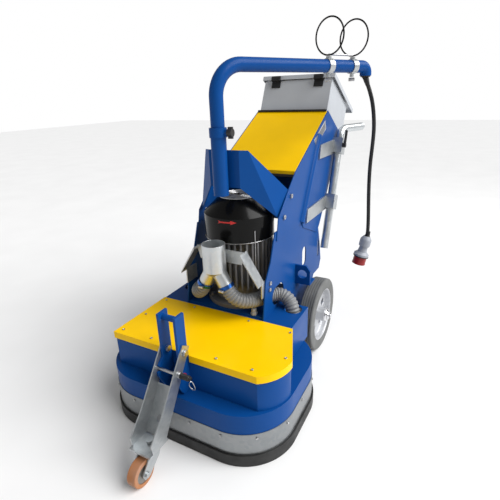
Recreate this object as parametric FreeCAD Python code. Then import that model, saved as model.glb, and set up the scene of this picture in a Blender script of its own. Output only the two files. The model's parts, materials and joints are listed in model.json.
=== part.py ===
"""Walk-behind floor grinder with two grinding heads, a swivelling cable boom and a castor arm.

Frame: millimetres, +Z up, X to the machine's left and right, -Y to the front (castor), +Y to the operator.
The origin is on the floor, under the middle of the machine.
"""
import FreeCAD
import Part
import math
import os

V = FreeCAD.Vector

# ---------------------------------------------------------------- driving dimensions
RUN = 0.05                 # radial clearance of a shaft that turns in a hole
SLIDE = 0.08               # radial clearance of a tube that slides in a hole
GAP = 0.5                  # ordinary clearance between neighbours that do not touch

# Grinding head: hood, zinc band and rubber skirt round the two discs
HOOD_HALF = 322.0          # half width of the hood, outside
HOOD_FRONT = -557.0        # front of the hood, outside
HOOD_REAR = -96.0          # rear of the hood, outside
HOOD_CORNER = 163.0        # plan radius of the hood's corners
HOOD_WALL = 3.0
HOOD_TOP = 179.0           # height of the hood's top face
HOOD_BOTTOM = 26.0
BAND_WALL = 2.0
BAND_BOTTOM = 40.0
BAND_TOP = 114.0
RUBBER_WALL = 8.0
SCREW_R = 4.0              # head radius of the small screws

# Frame plates: the two legs stand this far from the middle
PLATE_X = 155.0            # outer face of the leg plates, inner face of the column sides

# Upper housing: belt space under the lid in front, dust chamber behind it
HOUSE_HALF = PLATE_X + 101.0           # half width, outside: the hoses pass between plate and edge
HOUSE_FRONT = -505.0
HOUSE_WALL = 3.0
HOUSE_TOP = 300.0          # height of the lid and of the rear deck
BULGE_X, BULGE_Y = HOUSE_HALF - 60.0, -402.0   # centre of the round bulge at the right front
BULGE_R = 121.0
LID_REAR = -249.0          # rear edge of the lid, front edge of the deck
LID_WALL = 2.5
LID_SIDE = 1.5             # play between the lid's lip and the housing
LID_LIP = 23.0             # depth of the lid's turned-down lip

# Drive: motor in the middle, one belt round three pulleys, two discs
MOTOR_Y = -110.0
SHAFT_R = 14.0
PULLEY_R = 40.0
HEAD_X = 165.0
HEAD_Y = -330.0
HEAD_PULLEY_R = 72.0
SPINDLE_R = 17.5
BEARING_R = 40.0           # outside of the spindle's bearings
BELT_Z = (222.0, 262.0)
BELT_WALL = 5.0
DISC_R = 138.0
DISC_Z = (30.0, 42.0)
SEGMENT_BOTTOM = 8.0
SEGMENT_COUNT = 9
MOTOR_PLATE = 8.0
FLANGE_R = 125.0
FLANGE_T = 14.0
FLANGE_BOLT_R = 112.0
SHIELD_R = 94.0            # end shield between the flange and the fins
SHIELD_TOP = 378.0
CORE_R = 96.0
FIN_R = 117.0
FIN_COUNT = 36
FIN_TOP = 552.0
MOTOR_BOX_HALF = 52.0      # half width of the terminal box
COWL_R = 121.5
COWL_SHOULDER = 632.0
COWL_TOP = 685.0
COWL_TOP_R = 68.5
COWL_WALL = 2.0
FAN_R = 98.0

# Side frame: leg plates, column, shroud
PLATE_T = 4.0
COLUMN_T = 3.0
AXLE_Y, AXLE_Z = 126.0, 149.0
AXLE_R = 12.5
RIB_R = 20.0               # half-round rail pressed into the column side
PANEL_T = 3.0

# Wheels
WHEEL_R = 149.0
WHEEL_GAP = 31.0           # leg plate to the inner face of the tyre
WHEEL_IN = PLATE_X + WHEEL_GAP
WHEEL_W = 59.0
RIM_R = 108.0

# Castor arm and its bracket
PIVOT_Y, PIVOT_Z = -525.0, 318.0
KING_Y = -668.0            # swivel axis of the castor
CASTOR_Y = -716.0          # wheel axle of the castor
CASTOR_R = 40.0
CASTOR_W = 30.0
CASTOR_TOP = 102.0         # top face of the castor's mounting plate
BRACKET_X = (25.0, 33.0)   # inner and outer face of a bracket plate
ARM_GAP = 1.0              # play between a bracket plate and the arm
ARM_T = 4.0
ARM_X = (BRACKET_X[1] + ARM_GAP, BRACKET_X[1] + ARM_GAP + ARM_T)
BRACKET_TOP = 440.0
PIVOT_R = 6.0
PIN_R = 5.0
PIN_DROP = 62.0            # pivot to lock pin, along the arm

# Boom
BOOM_Y = -218.0
BOOM_R = 21.2
BOOM_WALL = 3.2
SLEEVE_WALL = 2.87
SLEEVE_R = BOOM_R + SLIDE + SLEEVE_WALL
SLEEVE_Z = (708.0, 914.0)
BOOM_Z = 1088.0            # height of the boom's horizontal axis
BOOM_BEND = 90.0
BOOM_REACH = 650.0
BOOM_END_BEND = 24.0
BOOM_END_Z = 1057.0
BOOM_DIR = (0.457, 0.889)
RING_AT = (455.0, 575.0)   # places of the two guide rings along the boom
RING_R = 57.5
RING_WIRE = 2.75
RING_NORMAL = (0.342, 0.940)

# Supply cord and plug
CORD_R = 7.5
CORD_POINTS = (
    (297.05, 359.85, 1053.0), (303.0, 363.5, 1036.0), (314.0, 370.0, 1008.0), (326.0, 376.0, 970.0),
    (335.0, 380.5, 920.0), (340.0, 384.0, 863.0), (339.0, 383.0, 800.0), (336.0, 381.5, 735.0),
    (337.0, 382.0, 655.0), (341.0, 384.5, 575.0), (345.5, 387.0, 500.0), (347.5, 388.0, 450.0),
    (346.5, 387.5, 421.0),
)
PLUG_DIR = (-0.201, -0.104, -0.974)

LANYARD_R = 1.5
LANYARD_POINTS = (
    (81.0, -557.0, 258.0), (86.0, -556.0, 248.0), (87.0, -553.0, 234.0), (82.0, -548.0, 222.0),
    (74.0, -545.0, 216.0), (66.0, -546.0, 220.0), (63.0, -549.0, 232.0), (68.0, -553.0, 246.0),
    (76.0, -556.0, 255.0),
)

# Handles
HANDLE_STAND = 22.0        # column side to the handle's axis
HANDLE_X = PLATE_X + COLUMN_T + HANDLE_STAND
HANDLE_R = 16.85
HANDLE_WALL = 2.6
HANDLE_BEND_R = 45.0
HANDLE_FOOT = (313.0, 367.0)       # (y, z) of the lower end
HANDLE_BEND = (490.0, 855.0)
HANDLE_FLARE = 50.0                # how far the grip turns outwards
HANDLE_END = (HANDLE_X + HANDLE_FLARE, 648.0)      # (x, y) of the grip's end
CLAMP_Z = (560.0, 786.0)           # heights of the two clamps on a handle
CLAMP_H = 62.0

# Cabinet
CAB_HALF = 150.0
CAB_FRONT = (435.0, 1077.0)        # (y, z) of the top front edge
CAB_TILT = 25.6                    # slope of the door, falling to the operator
CAB_DEPTH = 268.0
CAB_HEIGHT = 140.0
CAB_WALL = 2.0
DOOR_LENGTH = 352.0
DOOR_HALF = 161.0
DOOR_T = 18.0
BUTTON_TRAVEL = 4.5        # gap under a button's head, a little more than it moves

# Dust port and hoses
PORT_Y = -285.0
PORT_R = 38.05
PORT_WALL = 2.0
PORT_TOP = 566.0
PORT_LOW = 474.0           # lower end of the straight tube
PORT_CONE = 14.0           # height of the taper below it
PORT_FORK = 500.0          # height where the two legs' axes meet
LEG_R = 24.0
HOSE_R = 25.0
HOSE_BORE = 21.0
HOSE_POINTS = (
    (37.0, -285.0, 428.0), (54.0, -285.0, 395.0), (84.0, -270.0, 370.0), (111.0, -232.0, 360.0),
    (122.0, -190.0, 353.0), (PLATE_X - 24, -152.0, 347.0), (PLATE_X + 3, -122.0, 344.0),
    (PLATE_X + 35, -120.0, 333.0), (PLATE_X + 56, -130.0, 308.0), (PLATE_X + 59, -132.0, 280.0),
)

# ---------------------------------------------------------------- shape helpers


def prism(points, axis, low, high):
    """A flat outline, given by its two other coordinates, drawn out along one axis."""
    place = {
        "x": lambda a, b: V(low, a, b),
        "y": lambda a, b: V(a, low, b),
        "z": lambda a, b: V(a, b, low),
    }[axis]
    corners = [place(a, b) for a, b in points]
    face = Part.Face(Part.makePolygon(corners + corners[:1]))
    step = {"x": V(high - low, 0, 0), "y": V(0, high - low, 0), "z": V(0, 0, high - low)}[axis]
    return face.extrude(step)


def block(x0, x1, y0, y1, z0, z1):
    return Part.makeBox(x1 - x0, y1 - y0, z1 - z0, V(x0, y0, z0))


def rod(start, end, radius):
    start, end = V(*start), V(*end)
    return Part.makeCylinder(radius, (end - start).Length, start, end - start)


def pipe(start, end, outer, inner):
    return rod(start, end, outer).cut(rod(start, end, inner))


def ring_z(x, y, z0, z1, outer, inner):
    return pipe((x, y, z0), (x, y, z1), outer, inner)


def join(shapes):
    shapes = list(shapes)
    return shapes[0].multiFuse(shapes[1:]).removeSplitter() if len(shapes) > 1 else shapes[0]


def mirrored(shape):
    return shape.mirror(V(0, 0, 0), V(1, 0, 0))


def both_sides(shape):
    return Part.makeCompound([shape, mirrored(shape)])


def turned(shape, angle, x=0.0, y=0.0, z=0.0, axis=(0, 0, 1)):
    copy = shape.copy()
    copy.rotate(V(x, y, z), V(*axis), angle)
    return copy


def sheet(corners, thickness):
    """A flat plate from its outer corners; a positive thickness goes along the outline's right-hand normal."""
    pts = [V(*c) for c in corners]
    normal = (pts[1] - pts[0]).cross(pts[2] - pts[0])
    normal.normalize()
    face = Part.Face(Part.makePolygon(pts + pts[:1]))
    return face.extrude(normal * thickness)


def rounded_wire(half, front, rear, corner, z):
    """A rectangle with round corners, symmetric about X = 0."""
    s = corner * math.sqrt(0.5)
    line, arc, edges = Part.LineSegment, Part.Arc, []
    xs, ys = half - corner, (front + corner, rear - corner)
    edges.append(line(V(-xs, front, z), V(xs, front, z)))
    edges.append(arc(V(xs, front, z), V(xs + s, ys[0] - s, z), V(half, ys[0], z)))
    edges.append(line(V(half, ys[0], z), V(half, ys[1], z)))
    edges.append(arc(V(half, ys[1], z), V(xs + s, ys[1] + s, z), V(xs, rear, z)))
    edges.append(line(V(xs, rear, z), V(-xs, rear, z)))
    edges.append(arc(V(-xs, rear, z), V(-xs - s, ys[1] + s, z), V(-half, ys[1], z)))
    edges.append(line(V(-half, ys[1], z), V(-half, ys[0], z)))
    edges.append(arc(V(-half, ys[0], z), V(-xs - s, ys[0] - s, z), V(-xs, front, z)))
    return Part.Wire([e.toShape() for e in edges])


def hood_solid(grow, z0, z1):
    wire = rounded_wire(HOOD_HALF + grow, HOOD_FRONT - grow, HOOD_REAR + grow, HOOD_CORNER + grow, z0)
    return Part.Face(wire).extrude(V(0, 0, z1 - z0))


def house_solid(grow, z0, z1, rear=HOOD_REAR):
    """The upper housing's outline: straight on the left, with a round bulge at the right front."""
    front = HOUSE_FRONT - grow
    half = HOUSE_HALF + grow
    radius = BULGE_R + grow
    start = V(BULGE_X + math.sqrt(radius ** 2 - (front - BULGE_Y) ** 2), front, z0)
    end = V(BULGE_X + radius, BULGE_Y, z0)
    angle = (math.atan2(front - BULGE_Y, start.x - BULGE_X)) / 2
    middle = V(BULGE_X + radius * math.cos(angle), BULGE_Y + radius * math.sin(angle), z0)
    shoulder = V(half, LID_REAR, z0)
    corners = [end, shoulder, V(half, rear, z0), V(-half, rear, z0), V(-half, front, z0), start]
    if rear <= LID_REAR:
        corners.pop(1)
    edges = [Part.Arc(start, middle, end).toShape()]
    edges += [Part.LineSegment(a, b).toShape() for a, b in zip(corners, corners[1:])]
    return Part.Face(Part.Wire(edges)).extrude(V(0, 0, z1 - z0))


def bent_path(points, radii):
    """Straight runs through the points, joined by tangent arcs; radii has one value for each inner point."""
    pts = [V(*p) for p in points]
    edges, at = [], pts[0]
    for i in range(1, len(pts) - 1):
        back, ahead = pts[i - 1] - pts[i], pts[i + 1] - pts[i]
        back.normalize()
        ahead.normalize()
        half = back.getAngle(ahead) / 2
        reach = radii[i - 1] / math.tan(half)
        middle = back + ahead
        middle.normalize()
        a, b = pts[i] + back * reach, pts[i] + ahead * reach
        m = pts[i] + middle * (radii[i - 1] / math.sin(half) - radii[i - 1])
        if (a - at).Length > 0.01:
            edges.append(Part.LineSegment(at, a).toShape())
        edges.append(Part.Arc(a, m, b).toShape())
        at = b
    edges.append(Part.LineSegment(at, pts[-1]).toShape())
    return Part.Wire(edges)


def soft_radii(points):
    """Each bend as large as its two runs allow."""
    pts = [V(*p) for p in points]
    radii = []
    for a, b, c in zip(pts, pts[1:], pts[2:]):
        shorter = min((b - a).Length, (c - b).Length)
        turn = (b - a).getAngle(c - b)
        radii.append(0.45 * shorter / math.tan(turn / 2))
    return radii


def swept(path, radius):
    start = path.OrderedVertexes[0].Point
    first = path.OrderedEdges[0]
    tangent = first.tangentAt(first.FirstParameter)
    if (first.valueAt(first.FirstParameter) - start).Length > 0.01:
        tangent = first.tangentAt(first.LastParameter) * -1
    circle = Part.Wire(Part.makeCircle(radius, start, tangent))
    return path.makePipeShell([circle], True, False)


def hollow_tube(points, radii, outer, inner):
    path = bent_path(points, radii)
    return swept(path, outer).cut(swept(path, inner))


def screw_body(place, direction, radius, length):
    """The shank below a screw's seat; also the hole that it fills."""
    d = V(*direction)
    d.normalize()
    return Part.makeCylinder(radius, length, V(*place) - d * length, d)


def screw(place, direction, head_r, head_h, body_r, body_h):
    """A screw with its head's seat at the place; the direction points out of the head."""
    d = V(*direction)
    d.normalize()
    p = V(*place)
    head = Part.makeCylinder(head_r, head_h, p, d)
    socket = Part.makeCylinder(head_r * 0.5, head_h * 0.5, p + d * (head_h * 0.5), d)
    return head.cut(socket).fuse(screw_body(place, direction, body_r, body_h))


# ---------------------------------------------------------------- grinding head


def lower_hood():
    outside = hood_solid(0, HOOD_BOTTOM, HOOD_TOP)
    inside = hood_solid(-HOOD_WALL, HOOD_BOTTOM, HOOD_TOP - HOOD_WALL)
    shell = outside.cut(inside)
    tubes = []
    for x in (-HEAD_X, HEAD_X):
        shell = shell.cut(rod((x, HEAD_Y, 150), (x, HEAD_Y, 190), BEARING_R))
    for x in (-HEAD_X, HEAD_X):
        tubes.append(ring_z(x, HEAD_Y, 118, HOOD_TOP + 18, BEARING_R + 6, BEARING_R))
    return join([shell] + tubes).cut(Part.makeCompound(band_screws(screw_body)))


def bearings():
    rings = []
    for x in (-HEAD_X, HEAD_X):
        for z in (122, 176):
            rings.append(ring_z(x, HEAD_Y, z, z + 20, BEARING_R, SPINDLE_R + RUN))
    return Part.makeCompound(rings)


def skirt_band():
    band = hood_solid(BAND_WALL, BAND_BOTTOM, BAND_TOP).cut(hood_solid(0, BAND_BOTTOM, BAND_TOP))
    return band.cut(Part.makeCompound(band_screws(screw_body)))


def rubber_skirt():
    return hood_solid(RUBBER_WALL, 0, BAND_BOTTOM).cut(hood_solid(0, 0, BAND_BOTTOM))


def around_hood(grow, count):
    """Evenly spaced places on the hood's outline with the outward direction at each."""
    wire = rounded_wire(HOOD_HALF + grow, HOOD_FRONT - grow, HOOD_REAR + grow, HOOD_CORNER + grow, 0)
    centre = V(0, (HOOD_FRONT + HOOD_REAR) / 2, 0)
    places = []
    for p in wire.discretize(Number=count + 1)[:-1]:
        dx = max(abs(p.x) - (HOOD_HALF - HOOD_CORNER), 0) * math.copysign(1, p.x)
        half_y = (HOOD_REAR - HOOD_FRONT) / 2
        dy = max(abs(p.y - centre.y) - (half_y - HOOD_CORNER), 0) * math.copysign(1, p.y - centre.y)
        places.append((p, V(dx, dy, 0)))
    return places


def band_screws(make):
    """The screws that hold the zinc band, or only their shanks."""
    sizes = (SCREW_R, 3, 2.0, 4.5) if make is screw else (2.0, 4.5)
    return [make((p.x, p.y, BAND_TOP - 15), (d.x, d.y, 0), *sizes) for p, d in around_hood(BAND_WALL, 18)]


def lid_screws(make):
    """The screws round the lid's edge, or only their shanks."""
    sizes = (SCREW_R, 3, 2.0, 2.4) if make is screw else (2.0, 2.4)
    return [make((x, y, HOUSE_TOP), (0, 0, 1), *sizes) for x, y in LID_SCREWS]


def housing_screws():
    return Part.makeCompound(band_screws(screw) + lid_screws(screw))


LID_SCREWS = (
    (-237, -487), (-120, -487), (120, -487), (237, -487), (300, -400), (262, -275),
    (-237, -380), (-237, -268), (-110, -268), (110, -268),
)


def upper_housing():
    """Welded box: belt space that opens upwards, a closed deck behind it, and the motor plate."""
    walls = house_solid(0, HOOD_TOP, HOUSE_TOP - LID_WALL).cut(
        house_solid(-HOUSE_WALL, HOOD_TOP, HOUSE_TOP))
    deck = block(-HOUSE_HALF, HOUSE_HALF, LID_REAR + GAP, HOOD_REAR, HOUSE_TOP - HOUSE_WALL, HOUSE_TOP)
    plate = block(-PLATE_X + PLATE_T + GAP, PLATE_X - PLATE_T - GAP, LID_REAR + 8, MOTOR_Y + 132,
                  HOUSE_TOP, HOUSE_TOP + MOTOR_PLATE)
    solid = join([walls, deck, plate])
    solid = solid.cut(rod((0, MOTOR_Y, 250), (0, MOTOR_Y, 320), PULLEY_R + 8))
    for side in (-1, 1):
        x, y = HOSE_POINTS[-1][0] * side, HOSE_POINTS[-1][1]
        solid = solid.cut(rod((x, y, 250), (x, y, 320), HOSE_R + 6))
    return solid


def lid():
    outer = house_solid(LID_SIDE + LID_WALL, HOUSE_TOP - LID_LIP, HOUSE_TOP, LID_REAR)
    inner = house_solid(LID_SIDE, HOUSE_TOP - LID_LIP, HOUSE_TOP - LID_WALL, LID_REAR + 10)
    solid = outer.cut(inner)
    notch = BRACKET_X[1] + 6
    solid = solid.cut(block(-notch, notch, HOUSE_FRONT - 10, HOUSE_FRONT, 200, HOUSE_TOP + 10))
    return solid.cut(Part.makeCompound(lid_screws(screw_body)))


# ---------------------------------------------------------------- drive


def tangent_belt():
    """The belt's centre line: straight spans between three pulleys, as one closed band."""
    discs = [(0, MOTOR_Y, PULLEY_R), (HEAD_X, HEAD_Y, HEAD_PULLEY_R), (-HEAD_X, HEAD_Y, HEAD_PULLEY_R)]

    def band(extra):
        shapes = []
        for x, y, r in discs:
            shapes.append(rod((x, y, BELT_Z[0] + 3), (x, y, BELT_Z[1] - 3), r + extra))
        for (xa, ya, ra), (xb, yb, rb) in zip(discs, discs[1:] + discs[:1]):
            length = math.hypot(xb - xa, yb - ya)
            base = math.atan2(yb - ya, xb - xa)
            lean = math.acos((ra - rb) / length)
            quad = []
            for sign in (1, -1):
                a = base + sign * lean
                quad.append((xa + (ra + extra) * math.cos(a), ya + (ra + extra) * math.sin(a)))
                quad.append((xb + (rb + extra) * math.cos(a), yb + (rb + extra) * math.sin(a)))
            corners = [quad[0], quad[1], quad[3], quad[2]]
            shapes.append(prism(corners, "z", BELT_Z[0] + 3, BELT_Z[1] - 3))
        middle = [(x, y) for x, y, r in discs]
        shapes.append(prism(middle, "z", BELT_Z[0] + 3, BELT_Z[1] - 3))
        return join(shapes)

    return band(GAP + BELT_WALL).cut(band(GAP))


def pulley(x, y, radius):
    """A flanged belt pulley, keyed to its shaft and drawn as one solid with it."""
    body = rod((x, y, BELT_Z[0]), (x, y, BELT_Z[1]), radius)
    for z in (BELT_Z[0] - 3, BELT_Z[1]):
        body = body.fuse(rod((x, y, z), (x, y, z + 3), radius + 4))
    return body


def motor_shaft():
    shaft = rod((0, MOTOR_Y, BELT_Z[0] - 8), (0, MOTOR_Y, COWL_TOP - 22), SHAFT_R)
    return shaft.fuse(pulley(0, MOTOR_Y, PULLEY_R))


def cooling_fan():
    hub = ring_z(0, MOTOR_Y, 596, 640, 24, SHAFT_R)
    plate = ring_z(0, MOTOR_Y, 596, 599, FAN_R, 24)
    blades = []
    for i in range(8):
        blade = block(22, FAN_R - 3, MOTOR_Y - 1.5, MOTOR_Y + 1.5, 598, 628)
        blades.append(turned(blade, i * 45, 0, MOTOR_Y))
    return join([hub, plate] + blades)


def motor_body():
    """Flange, end shield and finned frame in one casting, with the terminal box behind."""
    flange_z = HOUSE_TOP + MOTOR_PLATE
    flange = rod((0, MOTOR_Y, flange_z), (0, MOTOR_Y, flange_z + FLANGE_T), FLANGE_R)
    shield = rod((0, MOTOR_Y, flange_z), (0, MOTOR_Y, SHIELD_TOP + 2), SHIELD_R)
    points = []
    for i in range(FIN_COUNT):
        for step, radius in ((-0.5, CORE_R), (-0.22, CORE_R), (-0.16, FIN_R), (0.16, FIN_R), (0.22, CORE_R)):
            angle = 2 * math.pi * (i + step) / FIN_COUNT
            points.append((radius * math.cos(angle), MOTOR_Y + radius * math.sin(angle)))
    frame = prism(points, "z", SHIELD_TOP, FIN_TOP)
    box = block(-MOTOR_BOX_HALF, MOTOR_BOX_HALF, MOTOR_Y + CORE_R - 8, MOTOR_Y + CORE_R + 62, 420, 520)
    solid = join([flange, shield, frame, box])
    shanks = [screw_body(place, (0, 0, 1), 5, FLANGE_T) for place in flange_bolt_places()]
    bore = rod((0, MOTOR_Y, 250), (0, MOTOR_Y, 700), SHAFT_R + RUN)
    return solid.cut(Part.makeCompound(shanks + [bore]))


def fan_cowl():
    def shape(inset):
        low = FIN_TOP - 4 if inset == 0 else FIN_TOP - 5
        cylinder = rod((0, MOTOR_Y, low), (0, MOTOR_Y, COWL_SHOULDER), COWL_R - inset)
        cone = Part.makeCone(COWL_R - inset, COWL_TOP_R - inset, COWL_TOP - COWL_SHOULDER - inset,
                             V(0, MOTOR_Y, COWL_SHOULDER))
        return cylinder.fuse(cone)

    solid = shape(0).cut(shape(COWL_WALL))
    for radius in (16, 28, 40, 52):
        cut = ring_z(0, MOTOR_Y, COWL_TOP - 8, COWL_TOP + 8, radius + 8, radius)
        bars = [turned(block(0, 80, MOTOR_Y - 2.5, MOTOR_Y + 2.5, COWL_TOP - 9, COWL_TOP + 9), a, 0, MOTOR_Y)
                for a in (0, 60, 120, 180, 240, 300)]
        solid = solid.cut(cut.cut(join(bars)))
    return solid


def spindle(x):
    shaft = rod((x, HEAD_Y, DISC_Z[1] - 10), (x, HEAD_Y, BELT_Z[1] + 6), SPINDLE_R)
    return shaft.fuse(pulley(x, HEAD_Y, HEAD_PULLEY_R))


def disc(x):
    """Carrier plate with a hub, and diamond segments round its rim."""
    plate = rod((x, HEAD_Y, DISC_Z[0]), (x, HEAD_Y, DISC_Z[1]), DISC_R)
    hub = rod((x, HEAD_Y, DISC_Z[1]), (x, HEAD_Y, DISC_Z[1] + 50), 36)
    solid = plate.fuse(hub).cut(rod((x, HEAD_Y, DISC_Z[1] - 10), (x, HEAD_Y, 200), SPINDLE_R))
    segments = []
    for i in range(SEGMENT_COUNT):
        piece = block(x + DISC_R - 44, x + DISC_R - 4, HEAD_Y - 9, HEAD_Y + 9, SEGMENT_BOTTOM, DISC_Z[0])
        segments.append(turned(piece, 360 * i / SEGMENT_COUNT, x, HEAD_Y))
    return join([solid] + segments)


# ---------------------------------------------------------------- frame, column, shroud

LEG_OUTLINE = (
    (LID_REAR + 1, HOUSE_TOP), (-224, 435), (-184, 490), (-150, 580), (96, 580), (288, 492),
    (323, 397), (347, 302), (327, 262), (254, 262), (172, 112), (80, 105), (-94, 190), (-94, HOUSE_TOP),
)
COLUMN_OUTLINE = (
    (-143, 548), (-128, 622), (-42, 701), (22, 752), (366, 936), (560, 829), (518, 762),
    (305, 479), (270, 452), (108, 520), (88, 548),
)
RIB_LINE = ((262, 850), (84, 548))   # (y, z) ends of the half-round rail
SHROUD_A = (55.0, BOOM_Y + SLEEVE_R, 729.0, 846.0)   # half width, y, low and high edge of the middle panel
SHROUD_LOW = (150.0, -118.0, 622.0)
TIP_SHARE = 0.24                     # how far the wing's upper corner lies towards the lower one
SHROUD_TIP = (
    SHROUD_A[0] + TIP_SHARE * (SHROUD_LOW[0] - SHROUD_A[0]),
    SHROUD_A[1] + TIP_SHARE * (SHROUD_LOW[1] - SHROUD_A[1]),
    844.0,
)
SHROUD_END = (154.5, -42.0, 701.0)
COLUMN_BOLTS = ((-24, 675), (-85, 616))    # (y, z) on the column sides
LEG_BOLTS = ((-195, 417), (-199, 395))    # (y, z) on the leg plates


def leg_plate():
    """One plate of the frame, with its slots, its hose hole and the tie-down lug."""
    inner, outer = PLATE_X - PLATE_T, PLATE_X
    plate = prism(LEG_OUTLINE, "x", inner, outer)
    slot = block(inner - 1, outer + 1, 109, 149, 374, 414)
    for z in (374, 414):
        slot = slot.fuse(rod((inner - 1, 129, z), (outer + 1, 129, z), 20))
    plate = plate.cut(slot)
    plate = plate.cut(block(inner - 1, outer + 1, 300, 313, 330, 400))
    hole = block(inner - 1, outer + 1, -142, -112, 312, 380)
    hole = hole.fuse(rod((inner - 1, -142, 346), (outer + 1, -142, 346), 34))
    hole = hole.fuse(rod((inner - 1, -112, 346), (outer + 1, -112, 346), 34))
    plate = plate.cut(hole)
    plate = plate.cut(rod((inner - 1, AXLE_Y, AXLE_Z), (outer + 1, AXLE_Y, AXLE_Z), AXLE_R))
    lug = prism([(outer, 322), (215, 322), (215, 372), (200, 394), (outer, 394)], "y", 34, 42)
    lug = lug.cut(rod((184, 30, 358), (184, 46, 358), 18))
    shelf = block(outer, 215, 34, 92, 316, 322)
    return join([plate, lug, shelf]).cut(Part.makeCompound(side_bolts(screw_body, 1)))


def column():
    """Folded sheet column: two sides joined by a sloping rear wall, with a rail pressed in each side."""
    side = prism(COLUMN_OUTLINE, "x", PLATE_X, PLATE_X + COLUMN_T)
    (y0, z0), (y1, z1) = RIB_LINE
    rail = rod((PLATE_X - 6, y0, z0), (PLATE_X - 6, y1, z1), RIB_R)
    rail = rail.common(block(PLATE_X + 1, PLATE_X + 60, -300, 700, 300, 1000))
    side = side.fuse(rail).cut(Part.makeCompound(side_bolts(screw_body, 1)))
    wall = sheet([(-PLATE_X, 518, 762), (PLATE_X, 518, 762), (PLATE_X, 305, 479), (-PLATE_X, 305, 479)],
                 -COLUMN_T)
    return join([side, mirrored(side), wall])


def upper_panel():
    """Sloping front cover between the column sides, with a lip at its lower edge."""
    low, high = (20, 752), (362, 934)
    slope = math.atan2(high[1] - low[1], high[0] - low[0])
    dy, dz = PANEL_T * math.sin(slope), -PANEL_T * math.cos(slope)
    points = [
        (low[0], low[1] - 20), low, high, (high[0] + dy, high[1] + dz),
        (low[0] + PANEL_T, low[1] - PANEL_T), (low[0] + PANEL_T, low[1] - 20),
    ]
    return prism(points, "x", -PLATE_X + GAP, PLATE_X - GAP)


def motor_shroud():
    """Folded sheet behind the motor top: a middle panel that carries the boom sleeve, and two wings."""
    half, y, low, high = SHROUD_A
    middle = block(-half, half, y, y + PANEL_T, low, high)
    fold_top, fold_low = (half, y, high), (half, y, low)
    near = sheet([fold_top, fold_low, SHROUD_LOW, SHROUD_TIP], -PANEL_T)
    far = sheet([SHROUD_TIP, SHROUD_LOW, SHROUD_END], -PANEL_T)
    wing = near.fuse(far)
    return join([middle, wing, mirrored(wing)])


def boom_sleeve():
    tube = pipe((0, BOOM_Y, SLEEVE_Z[0]), (0, BOOM_Y, SLEEVE_Z[1]), SLEEVE_R, BOOM_R + SLIDE)
    floor = rod((0, BOOM_Y, SLEEVE_Z[0]), (0, BOOM_Y, SLEEVE_Z[0] + 3), BOOM_R + SLIDE)
    collar = pipe((0, BOOM_Y, SLEEVE_Z[1] - 28), (0, BOOM_Y, SLEEVE_Z[1]), SLEEVE_R + 3, SLEEVE_R)
    boss_z = SLEEVE_Z[1] - 14
    boss = rod((SLEEVE_R - 1.5, BOOM_Y, boss_z), (SLEEVE_R + 10, BOOM_Y, boss_z), 9)
    solid = join([tube, floor, collar, boss])
    return solid.cut(rod((BOOM_R - 2, BOOM_Y, boss_z), (SLEEVE_R + 12, BOOM_Y, boss_z), 4 + RUN))


def boom_knob():
    boss_z = SLEEVE_Z[1] - 14
    stem = rod((BOOM_R + 0.4, BOOM_Y, boss_z), (SLEEVE_R + 11, BOOM_Y, boss_z), 4)
    head = rod((SLEEVE_R + 10.6, BOOM_Y, boss_z), (SLEEVE_R + 27, BOOM_Y, boss_z), 12)
    wing = block(SLEEVE_R + 12, SLEEVE_R + 27, BOOM_Y - 4, BOOM_Y + 4, boss_z - 17, boss_z + 17)
    return join([stem, head, wing])


def flange_bolt_places():
    angles = (math.radians(a) for a in (45, 135, 225, 315))
    z = HOUSE_TOP + MOTOR_PLATE + FLANGE_T
    return [(FLANGE_BOLT_R * math.cos(a), MOTOR_Y + FLANGE_BOLT_R * math.sin(a), z) for a in angles]


def side_bolts(make, side):
    """The bolts of one side of the frame, or only their shanks."""
    out = []
    for y, z in COLUMN_BOLTS:
        sizes = (8, 6, 4, COLUMN_T) if make is screw else (4, COLUMN_T)
        out.append(make((side * (PLATE_X + COLUMN_T), y, z), (side, 0, 0), *sizes))
    for y, z in LEG_BOLTS:
        sizes = (7, 5, 4, PLATE_T) if make is screw else (4, PLATE_T)
        out.append(make((side * PLATE_X, y, z), (side, 0, 0), *sizes))
    return out


def frame_bolts():
    flange = [screw(place, (0, 0, 1), 9, 8, 5, FLANGE_T) for place in flange_bolt_places()]
    return Part.makeCompound(flange + side_bolts(screw, 1) + side_bolts(screw, -1) + pivot_bolts())


# ---------------------------------------------------------------- axle and wheels


def axle():
    reach = WHEEL_IN + WHEEL_W
    bar = rod((-reach - 16, AXLE_Y, AXLE_Z), (reach + 16, AXLE_Y, AXLE_Z), AXLE_R)
    out = [bar]
    for side in (1, -1):
        out.append(pipe((side * PLATE_X, AXLE_Y, AXLE_Z), (side * (WHEEL_IN - 4), AXLE_Y, AXLE_Z),
                        AXLE_R + 8, AXLE_R - 0.5))
        out.append(rod((side * (reach + 12), AXLE_Y, AXLE_Z), (side * (reach + 22), AXLE_Y, AXLE_Z), 20))
    return join(out)


def tyre():
    """Ribbed tyre on the right side."""
    solid = pipe((WHEEL_IN, AXLE_Y, AXLE_Z), (WHEEL_IN + WHEEL_W, AXLE_Y, AXLE_Z), WHEEL_R, RIM_R)
    edge = solid.Edges
    rims = [e for e in edge if e.Curve.TypeId == "Part::GeomCircle" and abs(e.Curve.Radius - WHEEL_R) < 0.1]
    solid = solid.makeFillet(7, rims)
    for i in range(5):
        x = WHEEL_IN + 10.5 + i * (WHEEL_W - 21) / 4
        solid = solid.cut(pipe((x - 1.2, AXLE_Y, AXLE_Z), (x + 1.2, AXLE_Y, AXLE_Z), WHEEL_R + 1, WHEEL_R - 3))
    return solid


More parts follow.
